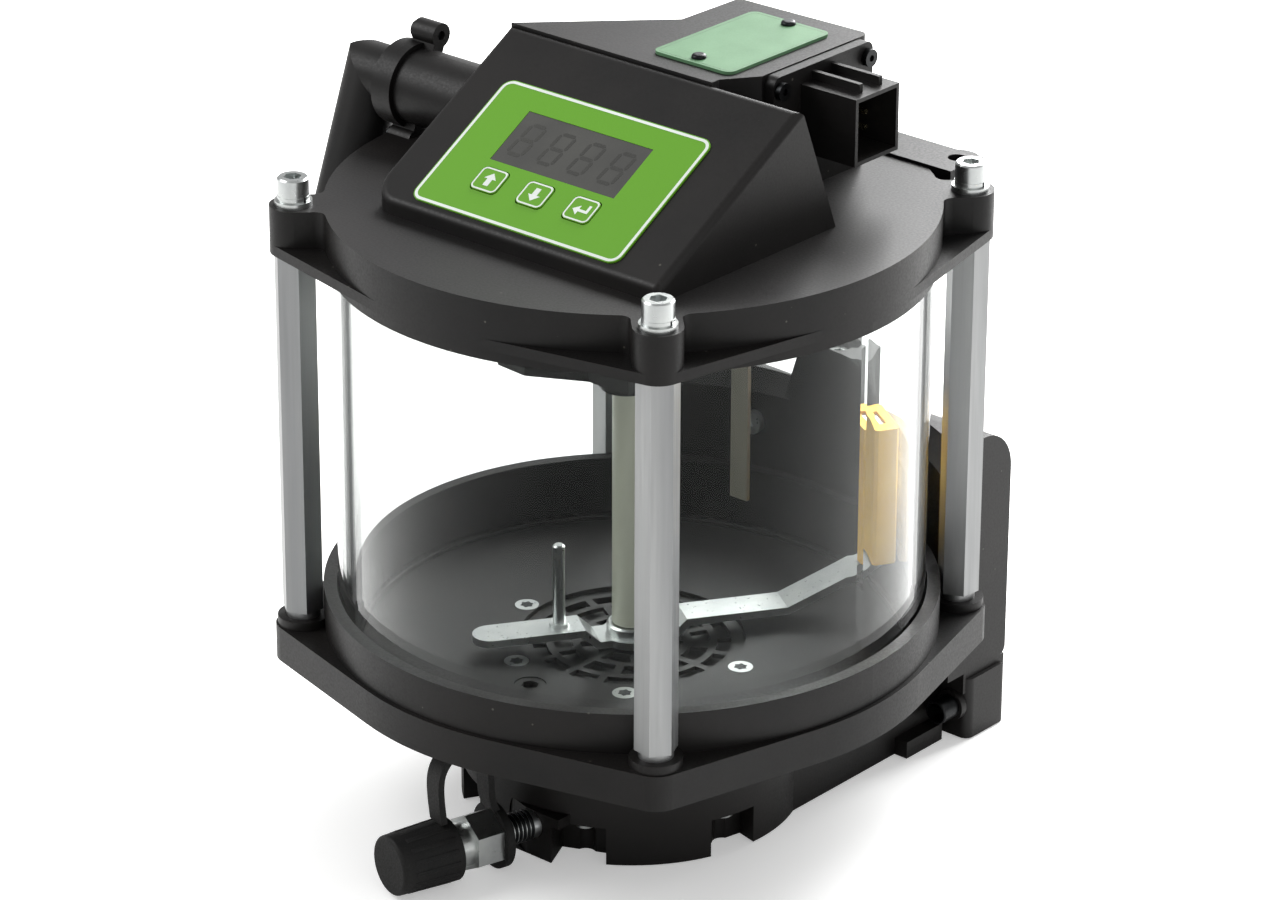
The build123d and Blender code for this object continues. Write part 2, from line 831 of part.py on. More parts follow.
def wedge_profile(low=lid_top):
    """Side view of the hood's sloping part: y across, z up."""
    lean = (hood_base_rear - hood_crest) / (hood_top - lid_top)
    points = [
        (hood_front, low),
        (hood_front, lid_top + hood_lip),
        (hood_crest, hood_top),
        (hood_crest + lean * (hood_top - low), low),
    ]
    return Polygon(*points, align=None)


def block_plan():
    """Plan of the hood's rear block, with its diagonal left side."""
    front = hood_crest
    diagonal = (block_rear - front) * 0.57
    points = [
        (hood_left, front),
        (hood_left + diagonal, front + diagonal),
        (block_left, block_rear - 1.5),
        (block_right, block_rear),
        (block_right, block_side_front),
        (block_notch_x, block_notch_y),
        (block_notch_x, front),
    ]
    return Polygon(*points, align=None)


def make_display_hood():
    """Hood shell: sloping display face, rear block, vent spigot and board posts."""
    wedge = side_prism(wedge_profile(), hood_left, hood_right)
    front_edges = wedge.edges().filter_by(Axis.Z).sort_by(Axis.X)
    wedge = fillet(front_edges[0], hood_corner_r)
    front_edges = wedge.edges().filter_by(Axis.Z).sort_by(Axis.X)
    wedge = fillet(front_edges[-1], hood_edge_r)
    upper = [e for e in wedge.edges() if e.bounding_box().max.Z > lid_top + hood_lip - 0.01]
    upper = [e for e in upper if e.bounding_box().min.Z > lid_top + 0.01]
    wedge = fillet(upper, hood_edge_r)
    block = prism(block_plan(), lid_top, hood_top)
    posts = block.edges().filter_by(Axis.Z).group_by(Axis.Y)[-1]
    block = fillet(posts, block_corner_r)
    hood = wedge + block
    inner_profile = offset(wedge_profile(lid_top - hood_wall), -hood_wall, kind=Kind.INTERSECTION)
    inner = side_prism(inner_profile, hood_left + hood_wall, hood_right - hood_wall)
    inner_plan = offset(block_plan(), -hood_wall, kind=Kind.INTERSECTION)
    inner += prism(inner_plan, lid_top, hood_top - hood_wall)
    hood -= inner
    hood += vent_spigot()
    hood -= bar((vent_joint_x, 0, vent_z), (1, 0, 0), elbow_r - elbow_wall, 45)
    for x, y in hood_screw_spots:
        hood += upright(hood_post_r, lid_top, lid_top + hood_screw_length + 2, x, y)
        hood -= upright(hood_screw_r, lid_top, lid_top + hood_screw_length, x, y)
    for x in (-board_width / 2 + 6, board_width / 2 - 6):
        for s in (board_s_low + 3, board_s_high - 3):
            hood += slope_plane * upright(board_post_r, -board_depth, -hood_wall + 0.5, x, s)
    return cut_panel_openings(hood)


def cut_panel_openings(hood):
    """Window and key openings through the sloping wall, screw holes elsewhere."""
    window = Pos(window_x, window_s) * Rectangle(window_width + 2 * seat_gap, window_length + 2 * seat_gap)
    hood -= slope_plane * prism(window, -hood_wall - 1, 1)
    for x in key_xs:
        outline = rounded_plate(key_width + 2 * body_gap, key_length + 2 * body_gap, key_corner_r)
        hood -= slope_plane * prism(Pos(x, key_s) * outline, -hood_wall - 1, 1)
    for x, y in nameplate_screw_spots:
        hood -= upright(nameplate_screw_r, hood_top - hood_wall, hood_top, x, y)
    for y, z in plate_screw_spots:
        hood -= bar((block_right - 6, y, z), (1, 0, 0), plate_screw_r, 8)
    for x, y in elbow_screw_spots():
        hood -= vent_plane * upright(elbow_screw_r, -vent_ear_length, 0, x, y)
    return hood


def elbow_screw_spots():
    """The two bosses, in the plane of the vent joint."""
    return [(vent_ear_offset, 0), (-vent_ear_offset, 0)]


def eared_ring(ring_low, ring_high, ear_low, ear_high):
    """Round joint band with two screw bosses and their webs, in the plane of the vent joint."""
    ring = upright(vent_ring_r, ring_low, ring_high)
    for x, y in elbow_screw_spots():
        ring += upright(vent_ear_r, ear_low, ear_high, x, y)
        web_low, web_high = sorted((0, x))
        ring += slab(web_low, web_high, -vent_web / 2, vent_web / 2, ear_low, ear_high)
    return ring


def vent_spigot():
    """Spigot on the hood's left wall with its joint flange."""
    length = hood_left + hood_wall - vent_joint_x
    spigot = bar((vent_joint_x, 0, vent_z), (1, 0, 0), vent_spigot_r, length)
    return spigot + vent_plane * eared_ring(-vent_ring_thick, 0, -vent_ear_length, 0)


def elbow_solid(radius):
    """Two round legs meeting in a mitre whose outer corner is rounded."""
    start = Vector(vent_joint_x, 0, vent_z)
    corner = Vector(elbow_corner_x, 0, vent_z)
    leg_dir = Vector(0, -sin(radians(vent_turn)), -cos(radians(vent_turn)))
    path = Polyline(start, corner, corner + leg_dir * elbow_leg)
    section = Plane(origin=start, z_dir=(-1, 0, 0)) * Circle(radius)
    across = Plane(origin=corner, x_dir=(-1, 0, 0), z_dir=leg_dir.cross(Vector(-1, 0, 0)))
    quadrant = Rectangle(3 * radius, 3 * radius, align=(Align.MIN, Align.MIN))
    outside = extrude(quadrant - Circle(radius + elbow_corner_swell), amount=2 * radius, both=True)
    return sweep(section, path=path, transition=Transition.RIGHT) - across * outside


def make_vent_elbow():
    """Bolted right-angle elbow whose leg points down and a little forward."""
    body = elbow_solid(elbow_r)
    body += vent_plane * eared_ring(0, elbow_ring_thick, 0, elbow_ear_thick)
    body -= elbow_solid(elbow_r - elbow_wall)
    for x, y in elbow_screw_spots():
        body -= vent_plane * upright(elbow_screw_r + seat_gap, 0, elbow_ear_thick, x, y)
    return body


def make_elbow_screws():
    """Two screws through the elbow's ears into the spigot's bosses."""
    head_high = elbow_ear_thick + elbow_screw_head_height
    screws = []
    for x, y in elbow_screw_spots():
        screw = upright(elbow_screw_head_r, elbow_ear_thick, head_high, x, y)
        screw += upright(elbow_screw_r, -vent_ear_length + 1, elbow_ear_thick, x, y)
        screw -= prism(Pos(x, y) * hexagon(elbow_screw_socket), elbow_ear_thick + 0.4, head_high)
        screws.append(vent_plane * screw)
    return Compound(screws)


def make_display_label():
    """Panel sheet on the sloping face, cut out for the window and the keys."""
    plan = Pos(label_x, label_s) * rounded_plate(label_width, label_length, label_corner_r)
    gap = 2 * seat_gap
    plan -= Pos(window_x, window_s) * Rectangle(window_width + gap, window_length + gap)
    for x in key_xs:
        hole = rounded_plate(key_width + 2 * body_gap, key_length + 2 * body_gap, key_corner_r)
        plan -= Pos(x, key_s) * hole
    return slope_plane * prism(plan, 0, label_thick)


def make_display_window():
    """Smoked window over the digits."""
    plan = Pos(window_x, window_s) * Rectangle(window_width, window_length)
    return slope_plane * prism(plan, label_thick - window_thick, label_thick - 0.1)


def make_display_module():
    """Digit module between the board and the window."""
    plan = Pos(window_x, window_s) * Rectangle(window_width - 1, window_length - 1)
    return slope_plane * prism(plan, -board_depth, label_thick - window_thick - 0.2)


def make_circuit_board():
    """Control board with its three key switches."""
    centre_s = (board_s_low + board_s_high) / 2
    plan = Pos(0, centre_s) * Rectangle(board_width, board_s_high - board_s_low)
    board = prism(plan, -board_depth - board_thick, -board_depth)
    for x in key_xs:
        switch = Pos(x, key_s) * Rectangle(switch_side, switch_side)
        board += prism(switch, -board_depth, -board_depth + switch_height)
    return slope_plane * board


def make_button(x):
    """Key cap with its stem, standing just above its switch."""
    plan = Pos(x, key_s) * rounded_plate(key_width, key_length, key_corner_r)
    cap_top = label_thick + key_proud
    cap = prism(plan, -key_depth, cap_top)
    cap = fillet(cap.edges().group_by(Axis.Z)[-1], 0.3)
    stem_low = -board_depth + switch_height + key_travel + 0.1
    return slope_plane * (cap + upright(key_stem_r, stem_low, -key_depth, x, key_s))


def make_nameplate():
    """Plain plate on top of the hood."""
    plan = rounded_plate(nameplate_width, nameplate_length, nameplate_corner_r)
    plan = Pos(nameplate_x, nameplate_y) * plan
    plate = prism(plan, hood_top, hood_top + nameplate_thick)
    for x, y in nameplate_screw_spots:
        plate -= upright(nameplate_screw_r + seat_gap, hood_top, hood_top + 2, x, y)
    return plate


def make_nameplate_screws():
    """Two button head screws that hold the nameplate."""
    low = hood_top + nameplate_thick
    screws = []
    for x, y in nameplate_screw_spots:
        head = upright(nameplate_screw_head_r, low, low + nameplate_screw_head_height, x, y)
        head = fillet(head.edges().group_by(Axis.Z)[-1], 1.0)
        screw = head + upright(nameplate_screw_r, hood_top - hood_wall, low, x, y)
        screw -= upright(0.7, low + 0.3, low + 3, x, y)
        screws.append(screw)
    return Compound(screws)


def make_connector_receptacle():
    """Flanged socket with an open shroud, a pin floor and two latch fins."""
    plate_outer = block_right + plate_thick
    body = slab(block_right, plate_outer, plate_front, plate_rear, plate_low, plate_high)
    corners = body.edges().filter_by(Axis.X)
    body = fillet(corners, 3)
    body += slab(plate_outer, shroud_end, shroud_front, shroud_rear, shroud_low, shroud_high)
    inner_low = shroud_low + shroud_wall
    inner_high = shroud_high - shroud_wall
    inner_front = shroud_front + shroud_wall
    inner_rear = shroud_rear - shroud_wall
    body -= slab(plate_outer + shroud_floor, shroud_end + 1, inner_front, inner_rear, inner_low, inner_high)
    for y in fin_spots:
        fin_top = shroud_high + fin_height
        body += slab(plate_outer, shroud_end - 3, y, y + fin_thick, shroud_high - 0.5, fin_top)
    for y, z in plate_screw_spots:
        body -= bar((block_right - 1, y, z), (1, 0, 0), plate_screw_r + seat_gap, 10)
    for y, z in pin_spots():
        start = block_right - 1
        half = pin_side / 2
        body -= slab(start, shroud_end, y - half, y + half, z - half, z + half)
    return body


def pin_spots():
    """Pin places in the socket: columns along y, rows along z."""
    y_mid = (shroud_front + shroud_rear) / 2
    z_mid = (shroud_low + shroud_high) / 2
    spots = []
    for i in range(pin_columns):
        for j in range(pin_rows):
            y = y_mid + (i - (pin_columns - 1) / 2) * pin_pitch_y
            z = z_mid + (j - (pin_rows - 1) / 2) * pin_pitch_z
            spots.append((y, z))
    return spots


def make_connector_pins():
    """Square pins moulded through the socket's floor."""
    half = pin_side / 2
    start = block_right + 0.5
    end = block_right + plate_thick + pin_length
    pins = [slab(start, end, y - half, y + half, z - half, z + half) for y, z in pin_spots()]
    return Compound(pins)


def make_connector_screws():
    """Pan head screws that hold the socket's flange."""
    face = block_right + plate_thick
    screws = []
    for y, z in plate_screw_spots:
        screw = bar((face, y, z), (1, 0, 0), plate_screw_head_r, plate_screw_head_height)
        screw += bar((block_right - 5, y, z), (1, 0, 0), plate_screw_r, plate_thick + 5)
        screw -= bar((face + 1, y, z), (1, 0, 0), 1.1, 5)
        screws.append(screw)
    return Compound(screws)


def make_reservoir_glass():
    """Clear cylinder wall of the reservoir."""
    return pipe(reservoir_r, reservoir_r - reservoir_wall, reservoir_low, reservoir_top)


def make_glass_seals():
    """Flat rubber rings under and over the glass."""
    inner = reservoir_r - seal_width
    return Compound([
        pipe(reservoir_r, inner, low, low + seal_thick) for low in (floor_top, reservoir_top)
    ])


def make_under_lid_housing():
    """Sensor housing under the lid with its conical hub round the centre tube."""
    body = upright(dome_r, dome_low, lid_under)
    body += prism(Polygon(*dome_box, align=None), dome_box_low, lid_under)
    body += upright(dome_boss_r, dome_boss_low, lid_under, dome_boss_x, dome_boss_y)
    hub_height = dome_low - hub_low
    body += Pos(0, 0, hub_low) * Cone(hub_r_low, hub_r_high, hub_height, align=STANDING)
    body -= upright(tube_r + seat_gap, hub_low, tube_top)
    for x, y in hood_screw_spots:
        body -= upright(hood_screw_head_r + 1, dome_low, lid_under, x, y)
    return body


def make_level_blade():
    """Thin level strip hanging from the lid, with a notch at its top left."""
    strip = slab(blade_left, blade_right, blade_y, blade_y + blade_thick, blade_low, dome_low)
    hook = slab(blade_left - 3, blade_left + 1, blade_y, blade_y + blade_thick, dome_low - 8, dome_low)
    return strip + hook


def make_hood_screws():
    """Screws from under the lid into the hood's posts."""
    screws = []
    for x, y in hood_screw_spots:
        screw = upright(hood_screw_head_r, lid_under - hood_screw_head_height, lid_under, x, y)
        screw += upright(hood_screw_r, lid_under, lid_top + hood_screw_length - 1, x, y)
        screws.append(screw)
    return Compound(screws)


def make_centre_tube():
    """Pale tube from the hub down to the shaft's upper journal."""
    low = shaft_shoulder + strip_thick + stirrer_nut_height + body_gap
    return pipe(tube_r, journal_r + running_gap, low, tube_top)


def make_bush(low, length):
    """Plain bush round the shaft."""
    return pipe(shaft_r + bush_wall, shaft_r + running_gap, low, low + length)


def make_shaft_seal():
    """Lip seal ring on the housing round the shaft."""
    return pipe(shaft_seal_r, shaft_r + running_gap, housing_top, housing_top + shaft_seal_thick)


def make_drive_shaft():
    """Stepped upright shaft with a journal at the top."""
    shaft = upright(shaft_r, shaft_low, shaft_shoulder)
    shaft += upright(journal_r, shaft_shoulder, shaft_top)
    return chamfer(shaft.edges().group_by(Axis.Z)[-1], 0.5)


def make_eccentric():
    """Eccentric on the shaft that drives the plunger, high side towards -X."""
    low = pump_z - eccentric_width / 2
    high = pump_z + eccentric_width / 2
    return upright(eccentric_r, low, high, -eccentric_throw, 0) - upright(shaft_r, low, high)


def involute(angle):
    """Involute function of an angle in radians."""
    return tan(angle) - angle


def gear_plan(teeth, first_tooth):
    """Involute spur gear outline, with one tooth centred on the given angle."""
    pitch_r = module * teeth / 2
    base_r = pitch_r * cos(radians(pressure_angle))
    tip_r = pitch_r + addendum * module
    root_r = pitch_r - dedendum * module
    half_pitch = (pi * module / 2 - backlash) / (2 * pitch_r)
    start_r = max(base_r, root_r)
    flank = []
    for i in range(4):
        r = start_r + (tip_r - start_r) * i / 3
        half = half_pitch + involute(radians(pressure_angle)) - involute(acos(base_r / r))
        flank.append((r, half))
    points = []
    for i in range(teeth):
        centre = radians(first_tooth) + 2 * pi * i / teeth
        side = [(root_r, flank[0][1])] + flank if root_r < start_r else flank
        for r, half in side:
            points.append((r * cos(centre - half), r * sin(centre - half)))
        for r, half in reversed(side):
            points.append((r * cos(centre + half), r * sin(centre + half)))
    return Polygon(*points, align=None)


def make_drive_gear():
    """Large gear on the shaft, lightened by six round holes."""
    plan = gear_plan(drive_teeth, 90) - Circle(shaft_r)
    for i in range(6):
        plan -= Pos(*polar(26, 60 * i)) * Circle(8)
    return prism(plan, gear_low, gear_low + gear_width)


def make_idler_gear():
    """Idler that runs on its fixed axle, with a gap facing the large gear."""
    plan = gear_plan(idler_teeth, 90 + 180 / idler_teeth) - Circle(idler_axle_r + running_gap)
    return Pos(0, idler_y, 0) * prism(plan, gear_low, gear_low + gear_width)


def make_idler_axle():
    """Axle riveted in the motor plate."""
    axle = upright(idler_axle_r, motor_plate_low, gear_low + gear_width + 1, 0, idler_y)
    return axle + upright(idler_axle_r + 2, plate_top, gear_low - body_gap, 0, idler_y)


def make_motor_pinion():
    """Pinion on the motor's shaft, with a tooth facing the idler."""
    plan = gear_plan(pinion_teeth, 90)
    pinion = prism(plan, gear_low, gear_low + gear_width)
    pinion += upright(motor_shaft_r, motor_plate_low - 8, gear_low)
    return Pos(0, motor_y, 0) * pinion


def make_motor_can():
    """Motor body with a locating spigot and a bore round its shaft."""
    can = upright(motor_r, motor_plate_low - motor_height, motor_plate_low, 0, motor_y)
    can = fillet(can.edges().group_by(Axis.Z)[0], 2)
    can += upright(5, motor_plate_low, motor_plate_low + 2, 0, motor_y)
    can -= upright(motor_shaft_r + running_gap, motor_plate_low - 9, motor_plate_low + 3, 0, motor_y)
    for side in (-1, 1):
        x = side * motor_screw_spread
        can -= upright(1.5, motor_plate_low - 6, motor_plate_low, x, motor_y)
    return can


def make_motor_plate():
    """Steel plate that carries the motor and the idler's axle."""
    half = motor_plate_half_width
    top = motor_plate_low + motor_plate_thick
    plate = slab(-half, half, motor_plate_front, motor_plate_rear, motor_plate_low, top)
    plate = fillet(plate.edges().filter_by(Axis.Z), 4)
    plate -= upright(5 + seat_gap, motor_plate_low, top, 0, motor_y)
    plate -= upright(idler_axle_r, motor_plate_low, top, 0, idler_y)
    for x, y in motor_boss_spots:
        plate -= upright(plate_bolt_r + seat_gap, motor_plate_low, top, x, y)
    for x, y in rear_screw_spots:
        plate -= upright(case_boss_r + 0.5, motor_plate_low, top, x, y)
    for side in (-1, 1):
        plate -= upright(1.6, motor_plate_low, top, side * motor_screw_spread, motor_y)
    return plate


def make_motor_screws():
    """Low screws into the motor, and four from below that hold its plate."""
    top = motor_plate_low + motor_plate_thick
    screws = []
    for side in (-1, 1):
        x = side * motor_screw_spread
        screw = upright(2.6, top, top + 1.4, x, motor_y)
        screw += upright(1.5, top - 8, top, x, motor_y)
        screws.append(screw)
    for x, y in motor_boss_spots:
        low = motor_plate_low - plate_bolt_head_height
        bolt = upright(plate_bolt_head_r, low, motor_plate_low, x, y)
        screws.append(bolt + upright(plate_bolt_r, motor_plate_low, top + plate_bolt_reach, x, y))
    return Compound(screws)


def make_pump_cylinder():
    """Pump cylinder through the housing's wall, with its inlet and outlet bore."""
    length = cylinder_end - cylinder_start
    body = bar((-cylinder_start, 0, pump_z), (-1, 0, 0), cylinder_r, length)
    body -= bar((-cylinder_start, 0, pump_z), (-1, 0, 0), plunger_r + plunger_gap, length - cylinder_bottom)
    body -= bar((-cylinder_start, 0, pump_z), (-1, 0, 0), outlet_bore_r, length)
    body -= upright(duct_r, pump_z, pump_z + cylinder_r, case_duct_x, 0)
    return body


def make_pump_plunger():
    """Plunger with a round head that follows the eccentric."""
    tip = eccentric_r + eccentric_throw + body_gap
    plunger = bar((-tip, 0, pump_z), (-1, 0, 0), plunger_head_r, plunger_head_thick)
    return plunger + bar((-tip, 0, pump_z), (-1, 0, 0), plunger_r, plunger_length)


def make_plunger_spring():
    """Return spring between the plunger's head and the cylinder's face."""
    start = eccentric_r + eccentric_throw + body_gap + plunger_head_thick
    length = cylinder_start - start
    coil_r = plunger_head_r - spring_wire_r
    turns = 4
    height = length - 2 * spring_wire_r
    path = Helix(height / turns, height, coil_r)
    section = Plane(origin=path @ 0, z_dir=path % 0) * Circle(spring_wire_r)
    coil = sweep(section, path=path)
    return Plane(origin=(-start - spring_wire_r, 0, pump_z), z_dir=(-1, 0, 0)) * coil


def make_outlet_fitting():
    """Outlet fitting on the cylinder's end: hexagon and threaded nipple."""
    start = Plane(origin=(-cylinder_end, 0, pump_z), z_dir=(-1, 0, 0))
    fitting = extrude(hexagon(outlet_hex), amount=outlet_hex_length)
    fitting += upright(outlet_thread_r, 0, outlet_length)
    fitting -= upright(outlet_bore_r, 0, outlet_length)
    return start * fitting


def filler_plane():
    """Frame of the filler: z outwards along its axis, x upwards."""
    return Plane(origin=(filler_x, filler_y, filler_z), x_dir=(0, 0, 1), z_dir=filler_dir)


def make_filler_coupler():
    """Threaded stem, hexagon and quick coupler nipple in one turned piece."""
    body = upright(filler_thread_r, -filler_thread_depth, filler_hex_start)
    body += prism(hexagon(filler_hex), filler_hex_start, filler_hex_end)
    body += upright(filler_neck_r, filler_hex_end, filler_neck_end)
    body += upright(filler_nipple_r, filler_neck_end, filler_nipple_end)
    body -= upright(filler_bore_r, filler_hex_start, filler_nipple_end)
    return filler_plane() * body


def make_filler_cap():
    """Tapered rubber cap over the coupler's nipple."""
    length = filler_cap_end - filler_cap_start
    cap = Pos(0, 0, filler_cap_start) * Cone(filler_cap_rear_r, filler_cap_front_r, length, align=STANDING)
    cap = fillet(cap.edges().group_by(Axis.Z)[-1], filler_cap_edge_r)
    cap -= upright(filler_neck_r + running_gap, filler_cap_start, filler_cap_end - filler_cap_wall)
    return filler_plane() * cap


def make_filler_strap():
    """Rubber ring round the coupler with the strap that loops to the cap."""
    ring_high = filler_plate_start + filler_plate_thick
    ring = upright(filler_plate_r, filler_plate_start, ring_high)
    ring -= upright(filler_thread_r + seat_gap, filler_plate_start, ring_high)
    ring_mid = filler_plate_start + filler_plate_thick / 2
    top = filler_plate_r + strap_rise
    cap_side = filler_cap_start + strap_width / 2
    cap_foot = filler_cap_rear_r + body_gap
    line = Spline(
        (filler_plate_r - strap_thick, ring_mid),
        (filler_plate_r + 3, ring_mid + 2.5),
        (top - 7.5, ring_mid + 4.2),
        (top, (ring_mid + cap_side) / 2 + 1.5),
        (top - 6, cap_side - 0.2),
        (top - 12, cap_side + 1),
        (cap_foot, cap_side),
    )
    ribbon = trace(line, line_width=strap_thick)
    strap = extrude(Plane.XZ * ribbon, amount=strap_width / 2, both=True)
    strap -= upright(filler_cap_rear_r + body_gap, filler_cap_start, filler_cap_end)
    strap -= upright(filler_thread_r + seat_gap, filler_plate_start, ring_high)
    return filler_plane() * (ring + strap)


def make_rear_bracket():
    """Tall bracket hollowed from behind, curved round the reservoir, with its tower."""
    top = shelf_top + bracket_height
    half = bracket_half_width
    body = slab(-half, half, case_rear - 40, bracket_rear, shelf_top, top)
    rear_edges = body.edges().filter_by(Axis.X).group_by(Axis.Y)[-1].sort_by(Axis.Z)
    body = fillet(rear_edges[-1], bracket_corner_r)
    rear_edges = body.edges().filter_by(Axis.X).group_by(Axis.Y)[-1].sort_by(Axis.Z)
    body = fillet(rear_edges[0], bracket_foot_r)
    rib_edges = [-bracket_half_width + bracket_wall]
    for x in bracket_rib_xs:
        rib_edges += [x - bracket_rib, x + bracket_rib]
    rib_edges.append(bracket_half_width - bracket_wall)
    for left, right in zip(rib_edges[0::2], rib_edges[1::2]):
        low = shelf_top + bracket_wall
        high = top - 2 * bracket_wall
        body -= slab(left, right, bracket_rear - bracket_pocket_depth, bracket_rear + 1, low, high)
    slope = Cone(bracket_arc_r, bracket_arc_r + bracket_top_slope, bracket_top_slope, align=STANDING)
    body -= Pos(0, 0, top - bracket_top_slope) * slope
    tower_top = top + tower_height
    tower = Polygon(
        (tower_right, tower_top),
        (tower_left, tower_top),
        (tower_left - tower_flare, tower_top - tower_flare_high),
        (tower_left - tower_flare, tower_top - tower_flare_low),
        (tower_right, tower_top - tower_flare_low),
        align=None,
    )
    body += front_prism(tower, tower_front, lug_rear)
    body -= upright(bracket_arc_r, shelf_top, tower_top)
    body -= prism(offset(eared_disc(flange_r, flange_ear_r), body_gap), 0, flange_top + body_gap)
    half = case_half_width + bracket_case_gap
    body -= slab(-half, half, 0, case_rear, 0, housing_top)
    for x in (-bracket_screw_x, bracket_screw_x):
        start = (x, bracket_screw_face, bracket_screw_z)
        body -= bar(start, (0, -1, 0), bracket_screw_head_r + 1, bracket_screw_face)
        body -= bar(start, (0, 1, 0), bracket_screw_r, bracket_screw_length + 1)
    x, y = tower_screw_x, tower_screw_y
    body -= upright(tower_counterbore_r, tower_top - tower_counterbore_depth, tower_top, x, y)
    body -= upright(tower_screw_r + seat_gap, shelf_top, tower_top, x, y)
    return body


def make_bracket_screws():
    """Two pan head screws in the bracket's front face."""
    screws = []
    for x in (-bracket_screw_x, bracket_screw_x):
        start = (x, bracket_screw_face, bracket_screw_z)
        screw = bar(start, (0, -1, 0), bracket_screw_head_r, bracket_screw_head_height)
        screw += bar(start, (0, 1, 0), bracket_screw_r, bracket_screw_length)
        head_face = (x, bracket_screw_face - bracket_screw_head_height, bracket_screw_z)
        screw -= bar(head_face, (0, 1, 0), bracket_screw_r / 2, bracket_screw_head_height / 2)
        screws.append(screw)
    return Compound(screws)


def make_tower_screw():
    """Long socket screw down the tower into the shelf."""
    tower_top = shelf_top + bracket_height + tower_height
    low = tower_top - tower_counterbore_depth
    x, y = tower_screw_x, tower_screw_y
    screw = upright(tower_screw_head_r, low, low + tower_screw_head_height, x, y)
    screw += upright(tower_screw_r, shelf_low + 2, low, x, y)
    socket = Pos(x, y) * hexagon(4)
    return screw - prism(socket, low + 2, low + tower_screw_head_height)


def arm_profile(length):
    """Side view of a stirrer arm, joggled up from the hub: reach across, height up."""
    low = shaft_shoulder
    high = arm_low
    points = [
        (0, low), (joggle_start, low), (joggle_end, high), (length, high),
        (length, high + strip_thick), (joggle_end - 1, high + strip_thick),
        (joggle_start - 1, low + strip_thick), (0, low + strip_thick),
    ]
    return Polygon(*points, align=None)


def straight_arm(angle, length):
    """One flat arm of the stirrer."""
    arm = extrude(Plane.XZ * arm_profile(length), amount=strip_width / 2, both=True)
    end = upright(strip_width / 2, arm_low, arm_low + strip_thick, length, 0)
    return Rot(0, 0, angle) * (arm + end)


def raised_arm():
    """Outer part of the right arm: it rises from its bend and turns upright for the wiper."""
    half = strip_thick / 2
    middle = arm_low + half
    line = Polyline((joggle_end + half, middle), (arm_bend_length, middle), (wiper_reach, wiper_low - half))
    rise = extrude(Plane.XZ * trace(line, line_width=strip_thick), amount=strip_width / 2, both=True)
    top = wiper_low + wiper_height - 1
    end_half = arm_end_width / 2
    blade = slab(wiper_reach - half, wiper_reach + half, -end_half, end_half, wiper_low - half, top)
    return Rot(0, 0, arm_right_angle) * (rise + blade)


def make_stirrer_arm():
    """Steel strip: a flat left arm, a rising right arm and a stop tab."""
    body = straight_arm(arm_left_angle, arm_left_length - strip_width / 2)
    body += straight_arm(arm_right_angle, joggle_end + strip_width)
    body += raised_arm()
    body += upright(strip_width / 2 + 4, shaft_shoulder, shaft_shoulder + strip_thick)
    tab_low = shaft_shoulder + strip_thick
    tab = slab(-11, -8.5, -4, 4, tab_low - 1, tab_low + stop_tab_height)
    body += Rot(0, 0, -40) * tab
    body -= upright(journal_r, shaft_shoulder, shaft_top)
    pin_x, pin_y = polar(stir_pin_reach, arm_left_angle)
    body -= upright(stir_pin_r, arm_low, arm_low + strip_thick, pin_x, pin_y)
    return body


def make_stirrer_pin():
    """Upright pin riveted in the left arm."""
    x, y = polar(stir_pin_reach, arm_left_angle)
    pin = upright(stir_pin_r, arm_low, stir_pin_top, x, y)
    pin = chamfer(pin.edges().group_by(Axis.Z)[-1], 0.6)
    collar = pipe(stir_pin_r + 1.2, stir_pin_r, arm_low + strip_thick, arm_low + strip_thick + 1.2, x, y)
    return pin + collar


def make_stirrer_nut():
    """Round nut that clamps the strip on the shaft's shoulder."""
    low = shaft_shoulder + strip_thick
    nut = upright(stirrer_nut_r, low, low + stirrer_nut_height)
    nut = chamfer(nut.edges().group_by(Axis.Z)[-1], 0.6)
    return nut - upright(journal_r, low, low + stirrer_nut_height)


def make_wiper():
    """Plastic wiper that runs close to the glass on the strip's upright end."""
    half_thick = wiper_thick / 2
    half_width = wiper_width / 2
    low, top = wiper_low, wiper_low + wiper_height
    block = slab(wiper_reach - half_thick, wiper_reach + half_thick, -half_width, half_width, low, top)
    block = chamfer(block.edges().filter_by(Axis.Z), wiper_edge)
    half_slot = strip_thick / 2
    end_half = arm_end_width / 2
    block -= slab(wiper_reach - half_slot, wiper_reach + half_slot, -end_half, end_half, low, top)
    return Rot(0, 0, arm_right_angle) * block - make_stirrer_arm()


